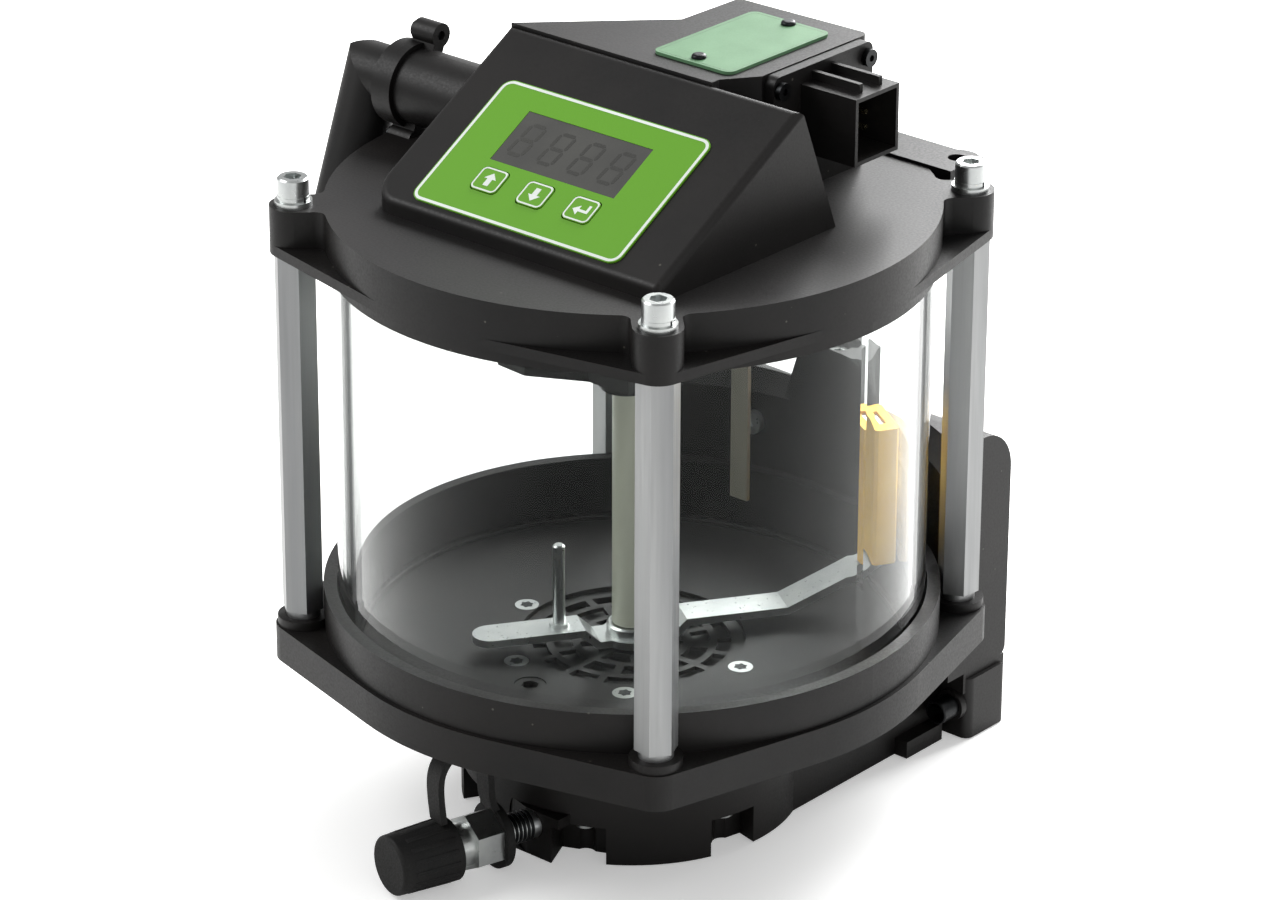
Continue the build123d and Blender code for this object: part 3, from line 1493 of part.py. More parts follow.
def all_nodes():
    """Every piece by its name."""
    nodes = {
        "gear_cover": make_gear_cover(),
        "cover_gasket": make_cover_gasket(),
        "cover_screws": make_cover_screws(),
        "gear_housing": make_gear_housing(),
        "lug_sleeves": make_lug_sleeves(),
        "base_flange": make_base_flange(),
        "floor_screws": make_floor_screws(),
        "floor_plug": make_floor_plug(),
        "strainer_plate": make_strainer_plate(),
        "tie_rods": make_tie_rods(),
        "reservoir_glass": make_reservoir_glass(),
        "glass_seals": make_glass_seals(),
        "lid": make_lid(),
        "lid_washers": make_lid_washers(),
        "lid_cap_screws": make_lid_cap_screws(),
        "display_hood": make_display_hood(),
        "hood_screws": make_hood_screws(),
        "display_label": make_display_label(),
        "display_window": make_display_window(),
        "display_module": make_display_module(),
        "circuit_board": make_circuit_board(),
        "nameplate": make_nameplate(),
        "nameplate_screws": make_nameplate_screws(),
        "connector_receptacle": make_connector_receptacle(),
        "connector_pins": make_connector_pins(),
        "connector_screws": make_connector_screws(),
        "vent_elbow": make_vent_elbow(),
        "elbow_screws": make_elbow_screws(),
        "under_lid_housing": make_under_lid_housing(),
        "level_blade": make_level_blade(),
        "centre_tube": make_centre_tube(),
        "shaft_bush_upper": make_bush(housing_top - bush_length, bush_length),
        "shaft_bush_lower": make_bush(cover_floor, lower_bush_length),
        "shaft_seal": make_shaft_seal(),
        "motor_can": make_motor_can(),
        "motor_plate": make_motor_plate(),
        "motor_screws": make_motor_screws(),
        "idler_axle": make_idler_axle(),
        "pump_cylinder": make_pump_cylinder(),
        "pump_plunger": make_pump_plunger(),
        "plunger_spring": make_plunger_spring(),
        "outlet_fitting": make_outlet_fitting(),
        "filler_coupler": make_filler_coupler(),
        "filler_strap": make_filler_strap(),
        "filler_cap": make_filler_cap(),
        "rear_bracket": make_rear_bracket(),
        "bracket_screws": make_bracket_screws(),
        "tower_screw": make_tower_screw(),
        "stirrer_arm": make_stirrer_arm(),
        "stirrer_pin": make_stirrer_pin(),
        "stirrer_nut": make_stirrer_nut(),
        "wiper": make_wiper(),
        "drive_shaft": make_drive_shaft(),
        "drive_gear": make_drive_gear(),
        "eccentric": make_eccentric(),
        "idler_gear": make_idler_gear(),
        "motor_pinion": make_motor_pinion(),
    }
    for name, x in zip(key_names, key_xs):
        nodes[name] = make_button(x)
    return nodes


def main():
    """Build every piece and write one STEP file for each."""
    os.makedirs("parts", exist_ok=True)
    for name, shape in all_nodes().items():
        export_step(shape, f"parts/{name}.step")


main()
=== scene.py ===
import json
import math

import bmesh
import bpy
from mathutils import Matrix, Vector


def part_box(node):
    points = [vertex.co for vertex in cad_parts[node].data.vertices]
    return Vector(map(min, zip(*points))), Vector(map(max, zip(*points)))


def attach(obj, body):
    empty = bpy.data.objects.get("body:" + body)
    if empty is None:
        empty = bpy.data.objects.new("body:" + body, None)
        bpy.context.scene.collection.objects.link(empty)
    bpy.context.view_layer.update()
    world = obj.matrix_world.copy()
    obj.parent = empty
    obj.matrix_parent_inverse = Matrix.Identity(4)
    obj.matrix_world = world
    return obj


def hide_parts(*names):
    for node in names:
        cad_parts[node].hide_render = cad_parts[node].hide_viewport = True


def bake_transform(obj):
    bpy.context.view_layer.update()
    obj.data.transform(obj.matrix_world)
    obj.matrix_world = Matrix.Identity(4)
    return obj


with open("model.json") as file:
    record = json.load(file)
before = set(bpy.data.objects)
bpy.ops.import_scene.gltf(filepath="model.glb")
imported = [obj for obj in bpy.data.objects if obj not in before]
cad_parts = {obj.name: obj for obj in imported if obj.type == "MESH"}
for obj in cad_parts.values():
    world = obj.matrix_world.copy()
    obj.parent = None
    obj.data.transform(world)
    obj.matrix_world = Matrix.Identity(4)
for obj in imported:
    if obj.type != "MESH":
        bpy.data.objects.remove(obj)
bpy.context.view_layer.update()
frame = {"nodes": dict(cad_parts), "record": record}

bl_info = {
    "name": "Electric lubrication pump",
    "version": (1, 0, 0),
    "blender": (4, 5, 0),
    "location": "3D View > Sidebar > Pump",
    "description": "Finishes and small details of an electric lubrication pump",
    "category": "Object",
}

MM = 0.001

# Frame of the sloping panel: X runs across it, Y up the slope and Z out of it
PANEL_FOOT = Vector((0, -62.0, 213.0)) * MM
PANEL_SLOPE = math.radians(30)
PANEL = Matrix.Translation(PANEL_FOOT) @ Matrix.Rotation(PANEL_SLOPE, 4, "X")
# Frame of the filler: Z runs outwards along the stem
FILLER_TURN = math.radians(-105.8)
FILLER_DIRECTION = Vector((math.cos(FILLER_TURN), math.sin(FILLER_TURN), 0))
FILLER_ORIGIN = Vector((7.3, -58.4, 11.2)) * MM
FILLER_AXES = FILLER_DIRECTION.to_track_quat("Z", "Y").to_matrix().to_4x4()
FILLER = Matrix.Translation(FILLER_ORIGIN) @ FILLER_AXES

# Part of a noise's range that carries the slow colour drift, and the fine grain
DRIFT_RANGE = (0.35, 0.65)
GRAIN_RANGE = (0.3, 0.7)
RELIEF_STRENGTH = 0.6
# Soft edge of a dust speck, as a share of the specks' spacing
SPECK_EDGE = (0.045, 0.03)
# Sockets of a mix node that mixes colours
MIX_FIRST, MIX_SECOND, MIX_RESULT = 6, 7, 2


def linear(code):
    """Linear colour of an sRGB hex value."""
    parts = [int(code[i:i + 2], 16) / 255 for i in (1, 3, 5)]
    return tuple(c / 12.92 if c <= 0.04045 else ((c + 0.055) / 1.055) ** 2.4 for c in parts) + (1.0,)


def add_node(tree, kind, settings=None, values=None, links=None):
    """One node with its settings, socket values and incoming links."""
    node = tree.nodes.new(kind)
    for key, value in (settings or {}).items():
        setattr(node, key, value)
    for key, value in (values or {}).items():
        node.inputs[key].default_value = value
    for key, socket in (links or {}).items():
        tree.links.new(socket, node.inputs[key])
    return node


def start_material(name):
    """Empty material: its tree, shader and object coordinates."""
    material = bpy.data.materials.new(name)
    material.use_nodes = True
    tree = material.node_tree
    shader = tree.nodes["Principled BSDF"]
    coords = add_node(tree, "ShaderNodeTexCoord")
    return material, tree, shader, coords.outputs["Object"]


def worked_surface(name, dark, light, rough, grain, depth, metallic=0.0, stretch=(1, 1, 1), specular=0.5,
                   patch=25.0, specks=None):
    """Material with slow colour drift, fine grain in gloss and relief, and optional dust specks.

    dark and light end the drift and patch is its size. rough is the range of the roughness, grain the size
    of the fine grain and depth its relief. specks holds their spacing and colour. Sizes are in millimetres.
    """
    material, tree, shader, coords = start_material(name)
    mapping = add_node(tree, "ShaderNodeMapping", values={"Scale": stretch}, links={"Vector": coords})
    where = mapping.outputs["Vector"]
    drift = add_node(tree, "ShaderNodeTexNoise", values={"Scale": 1 / (patch * MM), "Detail": 3.0},
                     links={"Vector": where})
    fine = add_node(tree, "ShaderNodeTexNoise", values={"Scale": 1 / (grain * MM), "Detail": 4.0},
                    links={"Vector": where})
    share = add_node(tree, "ShaderNodeMapRange", links={"Value": drift.outputs["Fac"]},
                     values={"From Min": DRIFT_RANGE[0], "From Max": DRIFT_RANGE[1]})
    mix = add_node(tree, "ShaderNodeMix", {"data_type": "RGBA"}, links={"Factor": share.outputs["Result"]},
                   values={MIX_FIRST: linear(dark), MIX_SECOND: linear(light)})
    colour = mix.outputs[MIX_RESULT]
    if specks:
        spacing, code = specks
        cells = add_node(tree, "ShaderNodeTexVoronoi", links={"Vector": coords},
                         values={"Scale": 1 / (spacing * MM), "Randomness": 1.0})
        spot = add_node(tree, "ShaderNodeMapRange", links={"Value": cells.outputs["Distance"]},
                        values={"From Min": SPECK_EDGE[0], "From Max": SPECK_EDGE[1]})
        dusty = add_node(tree, "ShaderNodeMix", {"data_type": "RGBA"}, values={MIX_SECOND: linear(code)},
                         links={"Factor": spot.outputs["Result"], MIX_FIRST: colour})
        colour = dusty.outputs[MIX_RESULT]
    tree.links.new(colour, shader.inputs["Base Color"])
    gloss = add_node(tree, "ShaderNodeMapRange", links={"Value": fine.outputs["Fac"]},
                     values={"From Min": GRAIN_RANGE[0], "From Max": GRAIN_RANGE[1], "To Min": rough[0],
                             "To Max": rough[1]})
    tree.links.new(gloss.outputs["Result"], shader.inputs["Roughness"])
    relief = add_node(tree, "ShaderNodeBump", values={"Strength": RELIEF_STRENGTH, "Distance": depth * MM},
                      links={"Height": fine.outputs["Fac"]})
    tree.links.new(relief.outputs["Normal"], shader.inputs["Normal"])
    shader.inputs["Metallic"].default_value = metallic
    if not metallic:
        shader.inputs["Specular IOR Level"].default_value = specular
    return material


def split_surface(tree, ray, usual, other):
    """Surface that shows the other shader to one kind of ray."""
    path = add_node(tree, "ShaderNodeLightPath")
    mixed = add_node(tree, "ShaderNodeMixShader", links={0: path.outputs[ray], 1: usual, 2: other})
    tree.links.new(mixed.outputs["Shader"], tree.nodes["Material Output"].inputs["Surface"])


def clear_acrylic():
    """Extruded clear acrylic: faint hairline scratches and a slightly grey body."""
    material, tree, shader, coords = start_material("clear_acrylic_extruded")
    shader.inputs["Base Color"].default_value = linear("#e9ebea")
    shader.inputs["Transmission Weight"].default_value = 1.0
    shader.inputs["IOR"].default_value = 1.49
    # a weak mirror at right angles, so that what stands behind stays dark and clear
    shader.inputs["Specular Tint"].default_value = linear("#646666")
    shader.inputs["Roughness"].default_value = 0.0
    # hairlines about 0.4 mm apart, which run round and up the tube
    mapping = add_node(tree, "ShaderNodeMapping", values={"Scale": (1, 1, 0.15)}, links={"Vector": coords})
    lines = add_node(tree, "ShaderNodeTexNoise", values={"Scale": 900.0, "Detail": 2.0},
                     links={"Vector": mapping.outputs["Vector"]})
    relief = add_node(tree, "ShaderNodeBump", values={"Strength": 0.008, "Distance": 0.01 * MM},
                      links={"Height": lines.outputs["Fac"]})
    tree.links.new(relief.outputs["Normal"], shader.inputs["Normal"])
    # light passes to the parts inside without a caustic's noise
    clear = add_node(tree, "ShaderNodeBsdfTransparent", values={"Color": linear("#eef0ef")})
    split_surface(tree, "Is Shadow Ray", shader.outputs["BSDF"], clear.outputs["BSDF"])
    return material


def make_finishes(sizes):
    """Every finish of the pump, by the record's material slot."""
    label = sizes.label_colour
    plate = sizes.plate_colour
    return {
        # glass-filled nylon, injection moulded: satin, with slow flow marks and dust
        "black_plastic": worked_surface(
            "nylon_moulded_black", "#0f0e0e", "#191716", (0.38, 0.52), grain=0.8, depth=0.02, specular=0.26,
            patch=40.0, specks=(11.0, "#4a4843")),
        # nitrile rubber, moulded: matt with a soft sheen
        "black_rubber": worked_surface(
            "nitrile_rubber_moulded", "#0f0f0f", "#181716", (0.55, 0.75), grain=0.6, depth=0.03, specular=0.3,
            patch=12.0),
        # steel, zinc plated and passivated: bright with faint clouds
        "zinc_steel": worked_surface(
            "steel_zinc_plated", "#bcbfbf", "#cbcecc", (0.27, 0.33), grain=1.2, depth=0.002, metallic=1.0,
            patch=9.0),
        # aluminium hexagon bar, drawn and anodised: fine lines along the bar
        "rod_aluminium": worked_surface(
            "aluminium_drawn_anodised", "#8c8d8e", "#9d9e9e", (0.34, 0.48), grain=0.9, depth=0.01,
            metallic=1.0, stretch=(1, 1, 0.03), patch=9.0),
        "clear_plastic": clear_acrylic(),
        # polyester film, screen printed: even ink with a satin face
        "label_green": worked_surface(
            "polyester_film_green", label, label, (0.3, 0.36), grain=0.7, depth=0.0006),
        # aluminium foil plate with a printed coat
        "plate_green": worked_surface(
            "foil_plate_printed", plate, "#577c5b", (0.42, 0.52), grain=0.6, depth=0.002, specular=0.2,
            patch=14.0),
        # smoked acrylic window: neutral grey and glossy
        "smoked_window": worked_surface(
            "acrylic_smoked", "#484846", "#4f4f4c", (0.12, 0.2), grain=1.0, depth=0.002, patch=18.0),
        # epoxy, cast grey round the digits
        "display_grey": worked_surface(
            "epoxy_cast_grey", "#343433", "#3d3d3b", (0.4, 0.5), grain=0.6, depth=0.005),
        # fibreglass board under green lacquer
        "board_green": worked_surface(
            "fibreglass_lacquered", "#12452a", "#185536", (0.3, 0.4), grain=1.5, depth=0.02, patch=5.0),
        # brass pins, tin plated
        "pin_brass": worked_surface(
            "brass_tin_plated", "#b9ad84", "#d0c8a4", (0.2, 0.3), grain=0.5, depth=0.004, metallic=1.0),
        # polypropylene tube, extruded: pale and slightly waxy
        "tube_plastic": worked_surface(
            "polypropylene_extruded", "#b2b4a3", "#c1c3b4", (0.35, 0.5), grain=1.2, depth=0.02,
            stretch=(1, 1, 0.1), patch=16.0, specks=(7.0, "#55534c")),
        # sintered bronze: porous and dull
        "bush_brass": worked_surface(
            "bronze_sintered", "#9a7440", "#b38a52", (0.4, 0.6), grain=0.3, depth=0.02, metallic=1.0),
        # ground steel: a fine even grain
        "motor_steel": worked_surface(
            "steel_ground", "#85888b", "#9c9fa1", (0.25, 0.4), grain=0.4, depth=0.005, metallic=1.0),
        # acetal gears, moulded: off-white and smooth
        "gear_plastic": worked_surface(
            "acetal_moulded", "#d5d2c6", "#dedbd0", (0.3, 0.42), grain=0.8, depth=0.01),
        # polyester film over the keys: the sheet's ink, slightly rougher
        "key_green": worked_surface(
            "polyester_film_key", label, label, (0.32, 0.38), grain=0.7, depth=0.0006),
        # polyurethane wiper, moulded yellow with small dirt marks
        "wiper_yellow": worked_surface(
            "polyurethane_moulded_yellow", "#f0b92e", "#f6c43f", (0.5, 0.62), grain=1.2, depth=0.01,
            specular=0.1, patch=15.0, specks=(5.0, "#7d6a35")),
    }


def black_steel():
    """Steel, phosphated black and oiled: dark with a soft shine."""
    found = bpy.data.materials.get("steel_phosphated_black")
    return found or worked_surface("steel_phosphated_black", "#252627", "#313233", (0.3, 0.42), 0.5, 0.003,
                                   metallic=1.0, patch=5.0)


def hex_of(colour):
    """sRGB hex value of a linear colour property."""
    parts = [c * 12.92 if c <= 0.0031308 else 1.055 * c ** (1 / 2.4) - 0.055 for c in colour[:3]]
    return "#" + "".join(f"{round(255 * min(max(p, 0), 1)):02x}" for p in parts)


class Settings:
    """Plain copy of the property values, with colours as hex."""

    def __init__(self, group):
        for name in PumpSizes.__annotations__:
            value = getattr(group, name)
            setattr(self, name, hex_of(value) if name.endswith("_colour") else value)


class PumpSizes(bpy.types.PropertyGroup):
    """Sizes and colours of the pump's details."""

    sheet_width: bpy.props.FloatProperty(
        name="Sheet width", description="Width of the panel sheet", default=85.2 * MM, unit="LENGTH")
    sheet_length: bpy.props.FloatProperty(
        name="Sheet length", description="Length of the panel sheet up the slope", default=53.0 * MM,
        unit="LENGTH")
    sheet_corner: bpy.props.FloatProperty(
        name="Sheet corner", description="Radius of the border's corners", default=3.7 * MM, unit="LENGTH")
    print_thick: bpy.props.FloatProperty(
        name="Print thickness", description="Thickness of the printed marks", default=0.04 * MM,
        unit="LENGTH")
    border_line: bpy.props.FloatProperty(
        name="Border line", description="Width of the pale line round the panel sheet", default=1.0 * MM,
        unit="LENGTH")
    border_inset: bpy.props.FloatProperty(
        name="Border inset", description="Edge of the panel sheet outside its pale line", default=0.35 * MM,
        unit="LENGTH")
    key_width: bpy.props.FloatProperty(
        name="Key width", description="Width of a key's outline", default=10.1 * MM, unit="LENGTH")
    key_length: bpy.props.FloatProperty(
        name="Key length", description="Length of a key's outline up the slope", default=8.9 * MM,
        unit="LENGTH")
    key_corner: bpy.props.FloatProperty(
        name="Key corner", description="Radius of a key's corners", default=1.8 * MM, unit="LENGTH")
    key_line: bpy.props.FloatProperty(
        name="Key line", description="Width of the outline round each key", default=0.55 * MM, unit="LENGTH")
    digit_height: bpy.props.FloatProperty(
        name="Digit height", description="Height of a digit in the window", default=13.6 * MM,
        unit="LENGTH")
    digit_pitch: bpy.props.FloatProperty(
        name="Digit pitch", description="Distance from one digit to the next", default=12.3 * MM,
        unit="LENGTH")
    stem_radius: bpy.props.FloatProperty(
        name="Stem radius", description="Radius of the filler's stem under its thread", default=4.8 * MM,
        unit="LENGTH")
    thread_start: bpy.props.FloatProperty(
        name="Thread start", description="Start of the thread along the stem", default=0.6 * MM,
        unit="LENGTH")
    thread_length: bpy.props.FloatProperty(
        name="Thread length", description="Length of the stem that carries thread", default=11.0 * MM,
        unit="LENGTH")
    thread_pitch: bpy.props.FloatProperty(
        name="Thread pitch", description="Pitch of the filler's thread", default=1.5 * MM, unit="LENGTH")
    thread_depth: bpy.props.FloatProperty(
        name="Thread depth", description="Height of the filler's thread over its stem", default=0.45 * MM,
        unit="LENGTH")
    cap_ribs: bpy.props.IntProperty(
        name="Cap ribs", description="Number of grip ribs on the filler cap", default=16)
    rib_proud: bpy.props.FloatProperty(
        name="Rib height", description="Height of the grip ribs on the filler cap", default=0.22 * MM,
        unit="LENGTH")
    rib_width: bpy.props.FloatProperty(
        name="Rib width", description="Width of a grip rib", default=1.5 * MM, unit="LENGTH")
    rib_length: bpy.props.FloatProperty(
        name="Rib length", description="Length of a grip rib", default=16.0 * MM, unit="LENGTH")
    recess_reach: bpy.props.FloatProperty(
        name="Recess reach", description="Mean radius of a floor screw's recess", default=2.0 * MM,
        unit="LENGTH")
    recess_lobe: bpy.props.FloatProperty(
        name="Recess lobe", description="Height of a lobe of a floor screw's recess", default=0.32 * MM,
        unit="LENGTH")
    label_colour: bpy.props.FloatVectorProperty(
        name="Panel colour", description="Ink of the panel sheet and keys", subtype="COLOR", size=4,
        default=linear("#5f9c1d"))
    plate_colour: bpy.props.FloatVectorProperty(
        name="Plate colour", description="Coat of the plate on the hood", subtype="COLOR", size=4,
        default=linear("#5f8463"))
    print_colour: bpy.props.FloatVectorProperty(
        name="Print colour", description="Pale print on the panel", subtype="COLOR", size=4,
        default=linear("#e4eae6"))


def sizes_now():
    """Current values of the settings."""
    return Settings(bpy.context.scene.pump_sizes)


def place_piece(name, bm, material, body, matrix=None, smooth=False):
    """Turn a finished bmesh into a piece that rides on a body."""
    if matrix is not None:
        bmesh.ops.transform(bm, matrix=matrix, verts=bm.verts)
    bmesh.ops.recalc_face_normals(bm, faces=bm.faces)
    mesh = bpy.data.meshes.new(name)
    bm.to_mesh(mesh)
    bm.free()
    for polygon in mesh.polygons:
        polygon.use_smooth = smooth
    piece = bpy.data.objects.new(name, mesh)
    bpy.context.scene.collection.objects.link(piece)
    piece.data.materials.append(material)
    if body:
        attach(piece, body)
    return piece


def raise_faces(bm, faces, height):
    """Give flat faces a thickness upwards."""
    grown = bmesh.ops.extrude_face_region(bm, geom=faces)
    tops = [g for g in grown["geom"] if isinstance(g, bmesh.types.BMVert)]
    bmesh.ops.translate(bm, verts=tops, vec=(0, 0, height))


def rounded_frame(width, length, corner, line, thick, centre):
    """Flat frame with rounded corners, as a raised ring of one line width."""
    bm = bmesh.new()
    bmesh.ops.create_grid(bm, x_segments=1, y_segments=1, size=0.5)
    bmesh.ops.scale(bm, vec=(width, length, 1), verts=bm.verts)
    bmesh.ops.bevel(bm, geom=bm.verts[:], offset=corner, segments=6, profile=0.5, affect="VERTICES",
                    material=-1)
    ring = bmesh.ops.inset_region(bm, faces=bm.faces[:], thickness=line, depth=0, use_boundary=True)["faces"]
    middle = [face for face in bm.faces if face not in ring]
    bmesh.ops.delete(bm, geom=middle, context="FACES")
    raise_faces(bm, bm.faces[:], thick)
    bmesh.ops.translate(bm, verts=bm.verts, vec=centre)
    return bm


def outline_plate(points, thick, centre, bm=None):
    """Flat plate from a few outline points in millimetres."""
    bm = bm or bmesh.new()
    corners = [bm.verts.new((x * MM + centre[0], y * MM + centre[1], centre[2])) for x, y in points]
    raise_faces(bm, [bm.faces.new(corners)], thick)
    return bm


def ring_points(count, reach, lobe=0.0):
    """Points round the origin: a polygon, or an outline with six lobes of the given height."""
    points = []
    for number in range(count):
        turn = math.tau * number / count
        out = reach + lobe * math.cos(6 * turn)
        points.append((out * math.cos(turn), out * math.sin(turn)))
    return points


def print_ink(sizes):
    """Screen printed ink: nearly white, slightly uneven."""
    found = bpy.data.materials.get("ink_screen_printed")
    return found or worked_surface(
        "ink_screen_printed", sizes.print_colour, "#d9dfda", (0.3, 0.4), grain=0.5, depth=0.002)


class PUMP_OT_finishes(bpy.types.Operator):
    """Give every solid of the pump its finish"""

    bl_idname = "pump.finishes"
    bl_label = "Finishes"

    BLACK_STEEL = ("nameplate_screws", "elbow_screws", "connector_screws", "lug_sleeves")

    def execute(self, context):
        finishes = make_finishes(sizes_now())
        special = dict.fromkeys(self.BLACK_STEEL, black_steel())
        # steel strip, cold rolled and left bare: dull grey
        special["level_blade"] = worked_surface(
            "steel_strip_rolled", "#6a6763", "#78746f", (0.4, 0.5), grain=0.8, depth=0.003, metallic=1.0,
            stretch=(1, 1, 0.1), patch=8.0)
        for row in frame["record"]["subparts"]:
            node = frame["nodes"].get(row["node"])
            if node is None:
                raise RuntimeError("missing solid " + row["node"])
            node.data.materials.clear()
            node.data.materials.append(special.get(row["node"]) or finishes[row["material_slot"]])
        return {"FINISHED"}


class PUMP_OT_panel_border(bpy.types.Operator):
    """Pale printed line round the panel sheet, and a fine line round the plate on the hood"""

    bl_idname = "pump.panel_border"
    bl_label = "Panel border"

    SHEET_CENTRE = Vector((2.4, 29.3, 0.6)) * MM
    BORDER_THICK = 0.05 * MM
    # the plate's line: distance from its edge, corner, width and thickness
    PLATE_EDGE = 1.0 * MM
    PLATE_LINE = (2.0 * MM, 0.35 * MM, 0.03 * MM)

    def execute(self, context):
        sizes = sizes_now()
        inset = 2 * sizes.border_inset
        bm = rounded_frame(sizes.sheet_width - inset, sizes.sheet_length - inset, sizes.sheet_corner,
                           sizes.border_line, self.BORDER_THICK, self.SHEET_CENTRE)
        place_piece("panel_border", bm, print_ink(sizes), "pump_body", PANEL)
        low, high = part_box("nameplate")
        centre = ((low[0] + high[0]) / 2, (low[1] + high[1]) / 2, high[2])
        width, length = (high[i] - low[i] - 2 * self.PLATE_EDGE for i in (0, 1))
        line = worked_surface("foil_line", "#466849", "#507053", (0.3, 0.4), 0.5, 0.002)
        bm = rounded_frame(width, length, *self.PLATE_LINE, centre)
        place_piece("plate_line", bm, line, "pump_body")
        return {"FINISHED"}


class PUMP_OT_key_marks(bpy.types.Operator):
    """Outline and arrow printed on each key"""

    bl_idname = "pump.key_marks"
    bl_label = "Key marks"

    # outlines in millimetres from the key's middle
    UP = ((0, 2.7), (2.4, 0.3), (1.0, 0.3), (1.0, -2.5), (-1.0, -2.5), (-1.0, 0.3), (-2.4, 0.3))
    DOWN = tuple((-x, -y) for x, y in UP)
    ENTER = ((3.0, 2.2), (3.0, -1.0), (-0.7, -1.0), (-0.7, -2.4), (-3.1, -0.5), (-0.7, 1.4), (-0.7, 0.0),
             (2.0, 0.0), (2.0, 2.2))
    # each key's place across the panel in millimetres, and its mark
    KEYS = (("up", -17.7, UP), ("down", 1.1, DOWN), ("enter", 20.1, ENTER))
    ROW = 17.5 * MM
    TOP = 1.0 * MM

    def execute(self, context):
        sizes = sizes_now()
        for name, x, mark in self.KEYS:
            centre = (x * MM, self.ROW, self.TOP)
            bm = rounded_frame(sizes.key_width, sizes.key_length, sizes.key_corner, sizes.key_line,
                               sizes.print_thick, centre)
            outline_plate(mark, sizes.print_thick, centre, bm)
            place_piece(name + "_key_mark", bm, print_ink(sizes), name + "_key", PANEL)
        return {"FINISHED"}


class PUMP_OT_digits(bpy.types.Operator):
    """Four unlit seven-segment digits in the window"""

    bl_idname = "pump.digits"
    bl_label = "Digits"

    COUNT = 4
    # middle of the first digit on the panel
    FIRST = Vector((-16.6, 35.75, 0.5)) * MM
    # of a bar, in millimetres: half its width, and its tip and its shoulder from the corner of the digit
    BAR_HALF = 0.75
    TIP = 0.4
    SHOULDER = 1.1
    # of a digit: half its width over half its height, then its scale both ways and its lean
    HALF_WIDTH = 0.5
    NARROWED = 0.86
    LOWERED = 0.92
    LEAN = 0.1

    def bar(self, length):
        """Outline of a level bar along X, between two corners of the digit."""
        near, far = length - self.SHOULDER, length - self.TIP
        return ((self.TIP, 0), (self.SHOULDER, self.BAR_HALF), (near, self.BAR_HALF), (far, 0),
                (near, -self.BAR_HALF), (self.SHOULDER, -self.BAR_HALF))

    def execute(self, context):
        sizes = sizes_now()
        tall = sizes.digit_height / MM / 2
        wide = tall * self.HALF_WIDTH
        bars = [[(x - wide, y + height) for x, y in self.bar(2 * wide)] for height in (-tall, 0, tall)]
        for side in (-wide, wide):
            bars += [[(side - y, low + x) for x, y in self.bar(tall)] for low in (-tall, 0)]
        bm = bmesh.new()
        for number in range(self.COUNT):
            centre = self.FIRST + Vector((number * sizes.digit_pitch, 0, 0))
            for bar in bars:
                leaning = [(x * self.NARROWED + self.LEAN * y, y * self.LOWERED) for x, y in bar]
                outline_plate(leaning, sizes.print_thick, centre, bm)
        # unlit segments behind smoked acrylic: a little darker than the window
        unlit = worked_surface("segment_unlit", "#383836", "#3f3f3c", (0.2, 0.3), grain=0.8, depth=0.002)
        place_piece("digit_segments", bm, unlit, "pump_body", PANEL)
        return {"FINISHED"}


class PUMP_OT_filler_thread(bpy.types.Operator):
    """Thread turns on the visible stem of the filler"""

    bl_idname = "pump.filler_thread"
    bl_label = "Filler thread"

    # width of a turn's root over the pitch
    ROOT = 0.95

    def execute(self, context):
        sizes = sizes_now()
        bm = bmesh.new()
        stem, pitch = sizes.stem_radius, sizes.thread_pitch
        for turn in range(int(sizes.thread_length / pitch)):
            low = sizes.thread_start + turn * pitch
            crest = (stem + sizes.thread_depth, low + 0.5 * pitch)
            profile = [bm.verts.new((across, 0, along))
                       for across, along in ((stem, low), crest, (stem, low + self.ROOT * pitch))]
            edges = [bm.edges.new((profile[i], profile[(i + 1) % 3])) for i in range(3)]
            bmesh.ops.spin(bm, geom=profile + edges, cent=(0, 0, 0), axis=(0, 0, 1), angle=math.tau, steps=36,
                           use_merge=True)
        place_piece("filler_thread", bm, black_steel(), "pump_body", FILLER, smooth=True)
        return {"FINISHED"}


class PUMP_OT_cap_ribs(bpy.types.Operator):
    """Grip ribs along the filler cap"""

    bl_idname = "pump.cap_ribs"
    bl_label = "Cap ribs"

    # the cap's taper, the middle of the first rib and the rounding of its edges
    TAPER = math.atan2(0.7, 22.2)
    MIDDLE = Vector((10.14, 0, 39.8)) * MM
    ROUNDING = 0.2 * MM

    def execute(self, context):
        sizes = sizes_now()
        bm = bmesh.new()
        bmesh.ops.create_cube(bm, size=1.0)
        bmesh.ops.scale(bm, vec=(3 * sizes.rib_proud, sizes.rib_width, sizes.rib_length), verts=bm.verts)
        bmesh.ops.bevel(bm, geom=bm.edges[:], offset=self.ROUNDING, segments=2, profile=0.5, affect="EDGES",
                        material=-1)
        bmesh.ops.rotate(bm, cent=(0, 0, 0), matrix=Matrix.Rotation(-self.TAPER, 3, "Y"), verts=bm.verts)
        bmesh.ops.translate(bm, verts=bm.verts, vec=self.MIDDLE)
        last = math.tau * (1 - 1 / sizes.cap_ribs)
        bmesh.ops.spin(bm, geom=bm.verts[:] + bm.edges[:] + bm.faces[:], cent=(0, 0, 0), axis=(0, 0, 1),
                       angle=last, steps=sizes.cap_ribs - 1, use_duplicate=True)
        rubber = frame["nodes"]["filler_cap"].data.materials[0]
        place_piece("cap_ribs", bm, rubber, "filler_cap", FILLER, smooth=True)
        return {"FINISHED"}


